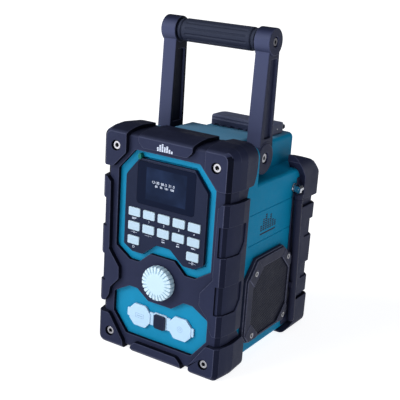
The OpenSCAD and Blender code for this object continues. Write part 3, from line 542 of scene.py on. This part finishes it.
def draw_digits(p, text, x, z, h, w, step=None):
    step = step or h * 0.72
    x0 = x - step * (len(text) - 1) / 2
    for i, ch in enumerate(text):
        cx = x0 + i * step
        if ch == ":":
            p.rect(cx - w * 0.6, cx + w * 0.6, z + h * 0.13, z + h * 0.13 + w * 1.2)
            p.rect(cx - w * 0.6, cx + w * 0.6, z - h * 0.25, z - h * 0.25 + w * 1.2)
        elif ch == ".":
            p.rect(cx - w * 0.6, cx + w * 0.6, z - h * 0.5, z - h * 0.5 + w * 1.2)
        else:
            for path in DIGITS[ch]:
                p.line([(cx + a * h * 0.5, z + b * h * 0.5) for a, b in path], w)


# ---- shells from the CAD solids ---------------------------------------------------------------------------------------
def mid(e):
    return (e.verts[0].co + e.verts[1].co) / 2


def fit(v):
    """Back to the working frame, in millimetres."""
    return v.x * 1000 + XM, v.y * 1000 + YM, v.z * 1000 - ZF


def near_axis_y(e, x, z, r):
    a = fit(mid(e))
    return math.hypot(abs(a[0]) - x, a[2] - z) < r


def around_screws(x, z, upper):
    return math.hypot(abs(x) - 65, z - upper) < 7 or math.hypot(abs(x) - 65, z + 111.7) < 7


def outer_front(e):
    """Edges of the pads and the frame in front; not those of the screw pits and of the inside."""
    if not e.is_convex:
        return False
    x, y, z = fit(mid(e))
    if around_screws(x, z, 111.7) or math.hypot(x, z + 33.5) < 8:
        return False
    return y < 12 or abs(x) > 77 or z > 124.5 or z < -125


def across_y(e):
    """An edge that stays in one plane across the depth, as where two zones of the shell meet."""
    return abs(e.verts[0].co.y - e.verts[1].co.y) < 0.00006


def bumper_fine_front(e):
    a = math.degrees(face_angle(e))
    return outer_front(e) and across_y(e) and 4.0 < a < 24.0


def bumper_main_front(e):
    return outer_front(e) and math.degrees(face_angle(e)) >= 24.0


def outer_rear(e):
    if not e.is_convex:
        return False
    x, y, z = fit(mid(e))
    return not around_screws(x, z, 62)


def bumper_main_rear(e):
    return outer_rear(e) and math.degrees(face_angle(e)) >= 24.0


def painted_shade_face(f):
    """Faces painted dark as shade: the steep band between a pad's face and its side, the low walls round the pads and
    the opening, the notches and the undersides. 1 is the dark painted shade, 2 the lighter one on the band below z 66.
    """
    n = f.normal
    x, y, z = fit(f.calc_center_median())
    wall = -1.9 < y < 12 and abs(n.y) < 0.5 and abs(x) < 78.5 and -122 < z < 122
    band = abs(x) > 73 and -2.6 < y < 7.4 and 0.42 < abs(n.x) < 0.93 and n.y < -0.3 and abs(n.z) < 0.5
    notch = abs(n.x) > 0.85 and abs(n.y) < 0.3 and abs(x) < 76 and y < 52 and abs(z) > 115
    under = n.z < -0.6 and abs(n.y) < 0.4 and abs(x) > 73 and abs(z) < 122
    return 1 if wall or notch or under or (band and z > 66) else 2 if band else 0


# faces of the rear bumper painted dark as shade: notches, undersides and low walls
def rear_painted_shade_face(f):
    n = f.normal
    x, y, z = fit(f.calc_center_median())
    notch = abs(n.x) > 0.85 and abs(n.y) < 0.3 and abs(x) < 70 and abs(z) > 115
    under = n.z < -0.6 and abs(n.y) < 0.4 and abs(x) > 73 and abs(z) < 122
    wall = y > 196 and abs(n.y) < 0.5 and abs(x) < 78.5 and -122 < z < 70
    return 1 if notch or under or wall else 0


def pad_foot(e):
    """Inner corners where a pad stands on the frame; the strips cut there are painted dark as a contact shadow."""
    if e.is_convex or math.degrees(face_angle(e)) < 30:
        return False
    x, y, z = fit(mid(e))
    if around_screws(x, z, 111.7) or y > 50:
        return False
    return y < 7 or abs(x) > 79.5 or z > 124 or z < -124.5


pad_foot.inner = True

# materials 1 and 2 are painted shade, the second lighter; the strips at the pads' feet take the first as a painted
# contact shadow
front_bumper = refine("front_bumper", [M["bumper"], M["crease"], M["band"]],
                      rules=((0.45, 1, pad_foot), (0.8, 3, bumper_main_front), (0.45, 2, bumper_fine_front),
                             (0.3, 1, lambda e: e.is_convex and math.degrees(face_angle(e)) > 30)), angle=4, second=painted_shade_face)
rear_bumper = refine("rear_bumper", [M["bumper"], M["crease"]],
                     rules=((0.8, 3, bumper_main_rear), (0.3, 1, lambda e: e.is_convex and math.degrees(face_angle(e)) > 30)), angle=20, second=rear_painted_shade_face)
refine("main_housing", M["teal"], rules=((0.8, 3, is_convex),), angle=32)
refine("rear_cover", M["teal"], rules=((0.5, 2, is_convex),), angle=32)
refine("front_fascia", M["teal_front"], rules=((0.3, 1, is_convex),), angle=32)
def panel_outline(e):
    x, y, z = fit(mid(e))
    return e.is_convex and y < 4.2 and (abs(x) > 50.5 or z > 99 or z < 1)


refine("display_panel", M["panel"], rules=((0.6, 2, panel_outline),), angle=28)
refine("display_window", M["window"], rules=((0.25, 2, is_convex),), angle=40)
for n in ("speaker_frame_right", "speaker_frame_left"):
    refine(n, M["frame"], rules=((1.0, 3, is_convex),), angle=26, twin="speaker_frame_right" if n.endswith("left") else None)
for n in ("handle_arm_right", "handle_arm_left"):
    # the inner sides of the arms take material 1, painted shade
    refine(n, [M["handle"], M["handle_inner"]], rules=((1.1, 3, is_convex),), angle=32,
           second=lambda f: 1 if f.normal.x * (1 if n.endswith("left") else -1) > 0.8 else 0)
refine("battery_lid", M["lid"], rules=((1.0, 3, is_convex),), angle=26)
for n in frame["nodes"]:
    if n.startswith("key_") and n != "key_board":
        refine(n, M["key"], rules=((0.6, 3, is_convex),), angle=30)
for n in ("left_port_flap", "right_port_flap"):
    refine(n, M["flap"], rules=((0.6, 2, lambda e: e.is_convex and fit(mid(e))[1] < 5.8), (0.3, 2, is_convex)), angle=30)
refine("port_strap", M["flap"], rules=((0.35, 2, is_convex),), angle=30)
refine("strap_keeper", M["panel"], rules=((0.5, 3, is_convex),), angle=30)
refine("status_light", M["light"], rules=((0.4, 3, is_convex),), angle=30)
for n in ("front_screws", "rear_screws", "speaker_screws", "handle_pivot_screws", "handle_cap_screws"):
    refine(n, M["screw_dark"] if n == "handle_cap_screws" else M["screw"], rules=((0.35, 3, is_convex),), angle=40)
refine("antenna_whip", M["whip"], rules=((0.3, 2, is_convex),), angle=30)
refine("antenna_clip", M["whip"], rules=((0.2, 2, is_convex),), angle=30)
refine("antenna_fork", M["chrome"], rules=((0.2, 2, is_convex),), angle=30)
refine("antenna_knuckle", M["chrome"], rules=((0.2, 2, is_convex),), angle=30)


# ---- knob -------------------------------------------------------------------------------------------------------------
def make_knob():
    N, cz = 24, -33.5
    ts = [-0.5, -0.40, -0.30, -0.235, -0.20, -0.13, -0.06, 0.0, 0.06, 0.13, 0.20, 0.235, 0.30, 0.40]
    per = len(ts)
    na = N * per
    # rings from the back up the side, over the rim and in across the face: radius, y, groove depth inwards, groove depth backwards, half width
    rings = [(18.9, 3.0, 0.3, 0, 0.20), (19.6, 2.4, 1.1, 0, 0.20), (19.8, 1.2, 1.7, 0, 0.20), (19.8, -1.0, 1.7, 0, 0.20), (19.8, -3.2, 1.7, 0, 0.20),
             (19.7, -4.2, 1.7, 0.2, 0.20), (19.35, -4.85, 1.6, 0.5, 0.20), (18.8, -5.2, 1.1, 1.2, 0.20), (18.0, -5.4, 0.5, 1.7, 0.20), (17.0, -5.55, 0.1, 1.8, 0.19),
             (16.0, -5.68, 0, 1.6, 0.18), (15.0, -5.8, 0, 1.35, 0.17), (14.0, -5.9, 0, 1.05, 0.16), (13.0, -5.98, 0, 0.75, 0.15), (12.1, -6.03, 0, 0.42, 0.14),
             (11.4, -6.06, 0, 0.15, 0.13), (10.9, -6.08, 0, 0, 0.13), (9.0, -6.09, 0, 0, 0.1), (6.0, -6.1, 0, 0, 0.1), (3.0, -6.1, 0, 0, 0.1), (1.0, -6.1, 0, 0, 0.1)]
    verts, edge = [], []
    for r, y, gr, gy, w in rings:
        for i in range(N):
            for t in ts:
                g = max(0.0, 1 - abs(t) / w) ** 0.75 if abs(t) < w else 0.0
                a = 2 * math.pi * (i + t) / N
                rr = r - gr * g
                verts.append(P(rr * math.sin(a), y + gy * g, cz + rr * math.cos(a)))
                # painted highlight on the flanks of the grooves near the rim
                edge.append(0.6 if 0.19 < abs(t) < 0.45 and 15 < r < 19.75 and y < -4 else 0.0)
    # back face, into the bore for the shaft
    back = [(18.9, 3.0), (9.0, 3.0), (8.4, 2.4), (8.2, 0.6), (3.6, 0.6), (3.4, 0.4), (3.2, -3.2)]
    base_back = len(verts)
    for r, y in back[1:]:
        for i in range(na):
            a = 2 * math.pi * i / na
            verts.append(P(r * math.sin(a), y, cz + r * math.cos(a)))
            edge.append(0.0)
    faces = []
    nr = len(rings)
    for k in range(nr - 1):
        for i in range(na):
            j = (i + 1) % na
            faces.append([k * na + i, k * na + j, (k + 1) * na + j, (k + 1) * na + i])
    verts.append(P(0, -6.1, cz))
    edge.append(0.0)
    c = len(verts) - 1
    for i in range(na):
        faces.append([(nr - 1) * na + i, (nr - 1) * na + (i + 1) % na, c])
    prev = 0
    for k in range(len(back) - 1):
        cur = base_back + k * na
        for i in range(na):
            j = (i + 1) % na
            faces.append([prev + j, prev + i, cur + i, cur + j])
        prev = cur
    verts.append(P(0, -3.2, cz))
    edge.append(0.0)
    c = len(verts) - 1
    for i in range(na):
        faces.append([prev + (i + 1) % na, prev + i, c])
    return mesh_object("knob_cap", verts, faces, M["pale"], "knob", "tuning_knob", sharp=28, edge=edge)


make_knob()


# ---- grip -------------------------------------------------------------------------------------------------------------
def make_grip():
    gy, gz = 94.5, 105.8 + 127.6
    n = 180
    # stations along x from the middle out: (x, radius, groove depth)
    st = []
    prof = [(0, 13.0, 0.9), (12, 13.0, 0.9), (24, 13.0, 0.9), (34, 13.0, 0.9), (37.6, 13.0, 0.9), (38.6, 13.0, 0.75), (39.3, 13.0, 0.35), (39.8, 13.0, 0.0), (41.5, 13.0, 0), (43.0, 12.95, 0),
            (43.7, 12.6, 0), (44.0, 12.1, 0), (44.3, 11.5, 0), (44.6, 11.4, 0), (45.4, 11.4, 0), (45.7, 11.5, 0), (46.0, 12.1, 0), (46.4, 12.5, 0), (47.0, 12.6, 0), (48.2, 12.6, 0),
            (48.8, 12.4, 0), (49.1, 11.9, 0), (49.3, 11.45, 0), (50.2, 11.4, 0), (50.8, 11.35, 0), (50.8, 8.1, 0)]
    full = [(-x, r, g) for x, r, g in prof[:0:-1]] + prof
    verts = []
    for x, r, g in full:
        for i in range(n):
            a = 2 * math.pi * i / n
            t = (i % 15) / 15 - 0.5
            d = max(0.0, 1 - (abs(t) / 0.17) ** 2) ** 0.7 * g
            rr = r - d
            verts.append(P(x, gy + rr * math.sin(a), gz + rr * math.cos(a)))
    faces = []
    for k in range(len(full) - 1):
        for i in range(n):
            j = (i + 1) % n
            faces.append([k * n + i, k * n + j, (k + 1) * n + j, (k + 1) * n + i])
    # inside of the sleeve
    b0, b1 = 0, (len(full) - 1) * n
    for i in range(n):
        j = (i + 1) % n
        faces.append([b1 + i, b1 + j, b0 + j, b0 + i])
    return mesh_object("grip_sleeve", verts, faces, M["grip"], "handle", "handle_grip", sharp=70)


make_grip()


# ---- perforated grilles -----------------------------------------------------------------------------------------------
def make_grille(side):
    cy, cz, w, c = 109.5, -60.0, 44.3, 21.4
    pitch, hole = 2.1, 0.68
    x0, x1 = 80.45, 81.55
    u = np.array([1, 0.0])
    verts, faces = [], []

    def inside(p, m):
        a, b = abs(p[0]), abs(p[1])
        return a < w - m and b < w - m and a + b < 2 * w - c - m * 1.41

    def ring(cx, cy2, r, k, rot=0.0):
        return [(cx + r * math.cos(2 * math.pi * (i + rot) / k), cy2 + r * math.sin(2 * math.pi * (i + rot) / k)) for i in range(k)]

    # diagonal square cells: each cell is a square turned by 45 degrees with an eight-sided hole
    s = pitch
    h = s / math.sqrt(2)
    index = {}

    def vert(p, x):
        key = (round(p[0] * 200), round(p[1] * 200), x)
        if key not in index:
            index[key] = len(verts)
            verts.append(P(side * x, cy + p[0], cz + p[1]))
        return index[key]

    n = int(w / h) + 2
    for i in range(-n, n + 1):
        for j in range(-n, n + 1):
            if (i + j) % 2:
                continue
            ctr = (i * h, j * h)
            corners = [(ctr[0] + h, ctr[1]), (ctr[0], ctr[1] + h), (ctr[0] - h, ctr[1]), (ctr[0], ctr[1] - h)]
            if not all(inside(q, 0.0) for q in corners):
                continue
            solid = not all(inside(q, 1.6) for q in corners)
            if solid:
                for x, flip in ((x1, False), (x0, True)):
                    f = [vert(q, x) for q in corners]
                    faces.append(f if not flip else f[::-1])
                continue
            hs = ring(ctr[0], ctr[1], hole, 8, 0.0)
            for x, flip in ((x1, False), (x0, True)):
                cv = [vert(q, x) for q in corners]
                hv = [vert(q, x) for q in hs]
                for k in range(4):
                    f1 = [cv[k], cv[(k + 1) % 4], hv[(2 * k + 2) % 8], hv[(2 * k + 1) % 8], hv[2 * k]]
                    faces.append(f1 if not flip else f1[::-1])
            a = [vert(q, x1) for q in hs]
            b = [vert(q, x0) for q in hs]
            for k in range(8):
                faces.append([a[k], b[k], b[(k + 1) % 8], a[(k + 1) % 8]])
    ob = mesh_object("grille_mesh_" + ("right" if side > 0 else "left"), verts, faces, M["dark_metal"], "radio",
                     "grille_right" if side > 0 else "grille_left", smooth=False)
    bm = bmesh.new()
    bm.from_mesh(ob.data)
    # close the rim of the sheet
    loops = [e for e in bm.edges if len(e.link_faces) == 1]
    bmesh.ops.bridge_loops(bm, edges=loops)
    bmesh.ops.recalc_face_normals(bm, faces=bm.faces)
    bm.to_mesh(ob.data)
    bm.free()
    return ob


make_grille(1)
make_grille(-1)

# ---- prints and symbols on the front ----------------------------------------------------------------------------------
p = Prints(front_at(4.0), 0.05)
KX = [(i - 2) * 19.9 for i in range(5)]
KZ = [39.8, 23.2, 6.6]
for i in range(4):
    draw_digits(p, str(i + 1), KX[i + 1], KZ[0] - 7.9, 2.1, 0.34)


def bars(p, x, z, n, wide, gap, hgt):
    x0 = x - (n * wide + (n - 1) * gap) / 2
    for i in range(n):
        p.rect(x0 + i * (wide + gap), x0 + i * (wide + gap) + wide, z - hgt / 2, z + hgt / 2)


def tri(p, x, z, s, d):
    p.poly([(x - d * s / 2, z - s / 2), (x + d * s / 2, z), (x - d * s / 2, z + s / 2)])


# row one, left: three list bars
for k in range(3):
    p.rect(KX[0] - 3.2, KX[0] + 3.2 - k * 1.6, KZ[0] - 6.9 - k * 0.85 - 0.42, KZ[0] - 6.9 - k * 0.85)
# row two: round mark, information mark, tune down, tune up, scan mark
zl = KZ[1] - 7.4
p.ring(KX[0], zl, 0.95, 0.32)
bars(p, KX[0] - 3.0, zl, 3, 0.6, 0.3, 0.36)
bars(p, KX[0] + 3.0, zl, 3, 0.6, 0.3, 0.36)
p.rect(KX[1] - 0.22, KX[1] + 0.22, zl - 1.0, zl + 0.25)
p.rect(KX[1] - 0.22, KX[1] + 0.22, zl + 0.6, zl + 1.0)
bars(p, KX[1] - 3.2, zl, 4, 0.6, 0.3, 0.36)
bars(p, KX[1] + 3.2, zl, 4, 0.6, 0.3, 0.36)
p.rect(KX[2] - 1.9, KX[2] + 1.9, zl - 0.1, zl + 0.3)
tri(p, KX[2] - 1.1, zl - 2.5, 1.9, -1)
tri(p, KX[2] + 1.0, zl - 2.5, 1.9, -1)
p.rect(KX[3] - 1.9, KX[3] + 1.9, zl - 0.1, zl + 0.3)
p.rect(KX[3] - 0.2, KX[3] + 0.2, zl - 1.0, zl + 1.2)
tri(p, KX[3] - 1.0, zl - 2.5, 1.9, 1)
tri(p, KX[3] + 1.1, zl - 2.5, 1.9, 1)
tri(p, KX[4] - 1.0, zl, 1.7, 1)
tri(p, KX[4] + 0.8, zl, 1.7, 1)
p.rect(KX[4] + 2.0, KX[4] + 2.4, zl - 0.9, zl + 0.9)
p.rect(KX[4] - 2.6, KX[4] - 2.2, zl - 0.9, zl + 0.9)
# row three: power mark and clock mark
zl = KZ[2] - 8.0
p.ring(KX[0], zl, 1.35, 0.34, 120, 420)
p.line([(KX[0], zl + 0.2), (KX[0], zl + 1.75)], 0.34)
p.ring(KX[4], zl + 0.2, 1.25, 0.32)
p.line([(KX[4], zl + 1.0), (KX[4], zl + 0.2), (KX[4] + 0.6, zl - 0.2)], 0.28)
bars(p, KX[4] - 3.3, zl + 0.1, 3, 0.6, 0.3, 0.36)
bars(p, KX[4] + 3.3, zl + 0.1, 3, 0.6, 0.3, 0.36)
p.make("key_marks", M["print_white"], "radio")

# what the display shows: a clock and a short tuning scale
d = Prints(front_at(3.9), 0.04)
draw_digits(d, "12:30", -13.6, 78.6, 2.4, 0.42, 2.0)
draw_digits(d, "98.5", -2.6, 78.6, 2.4, 0.42, 2.0)
draw_digits(d, "21.5", 7.6, 78.6, 2.4, 0.42, 2.0)
draw_digits(d, "88", -12.4, 74.6, 2.1, 0.38, 1.8)
draw_digits(d, "96", -6.0, 74.6, 2.1, 0.38, 1.8)
draw_digits(d, "104", 0.9, 74.6, 2.1, 0.38, 1.8)
draw_digits(d, "108", 8.2, 74.6, 2.1, 0.38, 1.8)
d.make("display_marks", M["print_white"], "radio")

# equaliser bars on the front top pad
e = Prints(front_at(-2.0), 0.05)
hts = [3.4, 6.2, 8.2, 5.0, 7.0, 4.2, 2.6]
for i, h in enumerate(hts):
    x = -9.0 + i * 3.0 + 0.4
    k = 0
    while k * 1.45 < h:
        e.rect(x - 1.05, x + 1.05, 116.2 + k * 1.45, 116.2 + k * 1.45 + 1.0)
        k += 1
e.make("front_emblem", M["print_white"], "radio")

# dark marks beside the knob: less, more and a pointer dot
m = Prints(front_at(3.5), 0.05)
m.rect(-34.4, -30.4, -35.0, -34.4)
m.rect(27.4, 31.4, -35.0, -34.4)
m.rect(29.1, 29.7, -36.7, -32.7)
m.disc(0, -9.0, 0.7)
m.make("knob_marks", M["print_dark"], "radio")


def side_at(x, h0=0.0):
    return lambda y, z, h: P(x + h, y, z)


# equaliser bars on the teal side
s = Prints(side_at(76.0), 0.05)
hts = [7.0, 12.5, 17.0, 10.5, 15.0, 9.0, 5.5]
for i, h in enumerate(hts):
    y = 84.5 + i * 5.3
    k = 0
    while k * 2.4 < h:
        s.rect(y, y + 3.9, 23.4 + k * 2.4, 23.4 + k * 2.4 + 1.6)
        k += 1
s.rect(84.5, 84.5 + 6 * 5.3 + 3.9, 18.8, 20.6)
s.make("side_emblem", M["print_dark"], "radio")

# raised marks on the port flaps
for side, name, body in ((-1, "left", "left_flap"), (1, "right", "right_flap")):
    q = Prints(front_at(5.4), 0.10)
    cx = side * 28.0
    if side < 0:
        q.line([(cx - 5.5, -86.3), (cx + 5.5, -86.3), (cx + 5.5, -81.3), (cx - 5.5, -81.3), (cx - 5.5, -86.3)], 0.5)
        q.rect(cx - 4.0, cx + 4.0, -84.6, -83.4)
    else:
        q.ring(cx, -83.6, 3.4, 0.5)
        q.ring(cx, -83.6, 1.4, 0.5)
    q.make(name + "_flap_marks", M["flap_mark"], body)

# shaded bottoms of the hexagon sockets, and the head of the lid's side pin
def hexagons(name, places, at, r, body):
    g = Prints(at, 0.04)
    for u, v in places:
        g.poly([(u + r * math.cos(math.radians(60 * i)), v + r * math.sin(math.radians(60 * i))) for i in range(6)])
    g.make(name, M["socket"], body)


hexagons("front_socket_bottoms", [(x, z) for x in (-65, 65) for z in (-111.7, 111.7)], front_at(1.98), 2.45, "radio")
hexagons("rear_socket_bottoms", [(x, z) for x in (-65, 65) for z in (-111.7, 62)], lambda x, z, h: P(x, 203.02 + h, z), 2.45, "radio")
spk_places = [(109.5 + a * 38, -60 + b * 38) for a in (-1, 1) for b in (-1, 1)]
hexagons("speaker_socket_bottoms_right", spk_places, side_at(82.92), 1.8, "radio")
hexagons("speaker_socket_bottoms_left", spk_places, lambda y, z, h: P(-82.92 - h, y, z), 1.8, "radio")
hexagons("pivot_socket_bottoms_right", [(93, 105.8)], side_at(67.42), 2.3, "radio")
hexagons("pivot_socket_bottoms_left", [(93, 105.8)], lambda y, z, h: P(-67.42 - h, y, z), 2.3, "radio")
hexagons("cap_socket_bottoms_right", [(94.5, 233.4)], side_at(68.02), 2.0, "handle")
hexagons("cap_socket_bottoms_left", [(94.5, 233.4)], lambda y, z, h: P(-68.02 - h, y, z), 2.0, "handle")


def pin_head(side):
    verts, faces, n = [], [], 20
    prof = [(0.95, -0.3), (0.95, 0.05), (0.8, 0.22), (0.5, 0.3)]
    for r, h in prof:
        for i in range(n):
            a = 2 * math.pi * i / n
            verts.append(P(side * (42.4 + h), 168.4 + r * math.cos(a), 122 + r * math.sin(a)))
    for k in range(len(prof) - 1):
        for i in range(n):
            j = (i + 1) % n
            faces.append([k * n + i, k * n + j, (k + 1) * n + j, (k + 1) * n + i])
    faces.append(list(range((len(prof) - 1) * n, len(prof) * n)))
    faces.append(list(range(n))[::-1])
    mesh_object("lid_pin_head_" + ("right" if side > 0 else "left"), verts, faces, M["grey_metal"], "lid", sharp=50)


pin_head(1)
pin_head(-1)

# ---- nodes that stay as they are --------------------------------------------------------------------------------------
KEEP = {
    "lcd_module": "window", "key_board": "board", "rotary_encoder": "grey_metal", "port_plate": "inner", "usb_socket": "steel",
    "audio_socket": "inner", "speaker_driver_right": "basket", "speaker_driver_left": "basket", "speaker_cone_right": "cone",
    "speaker_cone_left": "cone", "battery_tub": "inner", "battery_pack": "cell", "battery_contacts": "brass", "dc_socket": "inner",
    "main_board": "board", "lid_hinge_pin": "steel", "handle_rod": "steel", "encoder_shaft": "steel",
}
for n, k in KEEP.items():
    me = NODES[n].data
    me.materials.clear()
    me.materials.append(M[k])

# ---- stage ------------------------------------------------------------------------------------------------------------
fm = Mat("pale_floor")
fn = fm.noise(1.2, 2, 0.5)
pale = fm.mix(fm.remap(fn, 0, 1), (0.40, 0.402, 0.41, 1), (0.42, 0.422, 0.43, 1))
fsep = fm.t.nodes.new("ShaderNodeSeparateXYZ")
fm.link(fm.co, fsep.inputs[0])
toward = fm.math("ADD", fm.math("MULTIPLY", fsep.outputs[0], -0.55), fm.math("MULTIPLY", fsep.outputs[1], -0.83))
glow = fm.remap(toward, 0.88, 2.3, 0.15, 0.75)
fm.set(Base_Color=pale, Roughness=0.9, Emission_Color=(0.985, 0.99, 1.0, 1), Emission_Strength=glow)
fm.set(Specular_IOR_Level=0.0)
me = bpy.data.meshes.new("floor")
me.from_pydata([(-60, -60, 0), (60, -60, 0), (60, 60, 0), (-60, 60, 0)], [], [(0, 1, 2, 3)])
floor = bpy.data.objects.new("floor", me)
bpy.context.scene.collection.objects.link(floor)
me.materials.append(fm.m)

world = bpy.data.worlds.new("studio")
bpy.context.scene.world = world
world.use_nodes = True
wt = world.node_tree
bg = wt.nodes["Background"]
bg.inputs["Strength"].default_value = 0.12
bg.inputs["Color"].default_value = (0.93, 0.95, 1.0, 1)


def sun(name, az, el, strength, angle, color=(1, 1, 1)):
    d = bpy.data.lights.new(name, "SUN")
    d.energy = strength
    d.angle = math.radians(angle)
    d.color = color
    o = bpy.data.objects.new(name, d)
    bpy.context.scene.collection.objects.link(o)
    a, e = math.radians(az), math.radians(el)
    back = Vector((math.sin(a) * math.cos(e), -math.cos(a) * math.cos(e), math.sin(e)))
    o.rotation_mode = "QUATERNION"
    o.rotation_quaternion = (-back).to_track_quat("-Z", "Y")
    return o


sun("key", -38, 29, 3.0, 40, (1.0, 0.99, 0.97))
sun("fill", 66, 32, 0.5, 50, (0.95, 0.97, 1.0))
sun("top", 20, 80, 0.3, 30, (1.0, 1.0, 1.0))

cam_data = bpy.data.cameras.new("camera")
cam = bpy.data.objects.new("camera", cam_data)
bpy.context.scene.collection.objects.link(cam)
az, el, roll = (math.radians(v) for v in (32.15, 17.38, 3.76))
back = Vector((math.sin(az) * math.cos(el), -math.cos(az) * math.cos(el), math.sin(el)))
right = Vector((math.cos(az), math.sin(az), 0))
up = back.cross(right)
r2 = right * math.cos(roll) + up * math.sin(roll)
u2 = -right * math.sin(roll) + up * math.cos(roll)
cam.matrix_world = Matrix((
    (r2.x, u2.x, back.x, 0.510241), (r2.y, u2.y, back.y, -0.842263), (r2.z, u2.z, back.z, 0.475864), (0, 0, 0, 1)))
cam_data.sensor_width = 36
cam_data.lens = 78.9
cam_data.clip_start, cam_data.clip_end = 0.05, 200
bpy.context.scene.camera = cam
bpy.context.scene.view_settings.view_transform = "Standard"
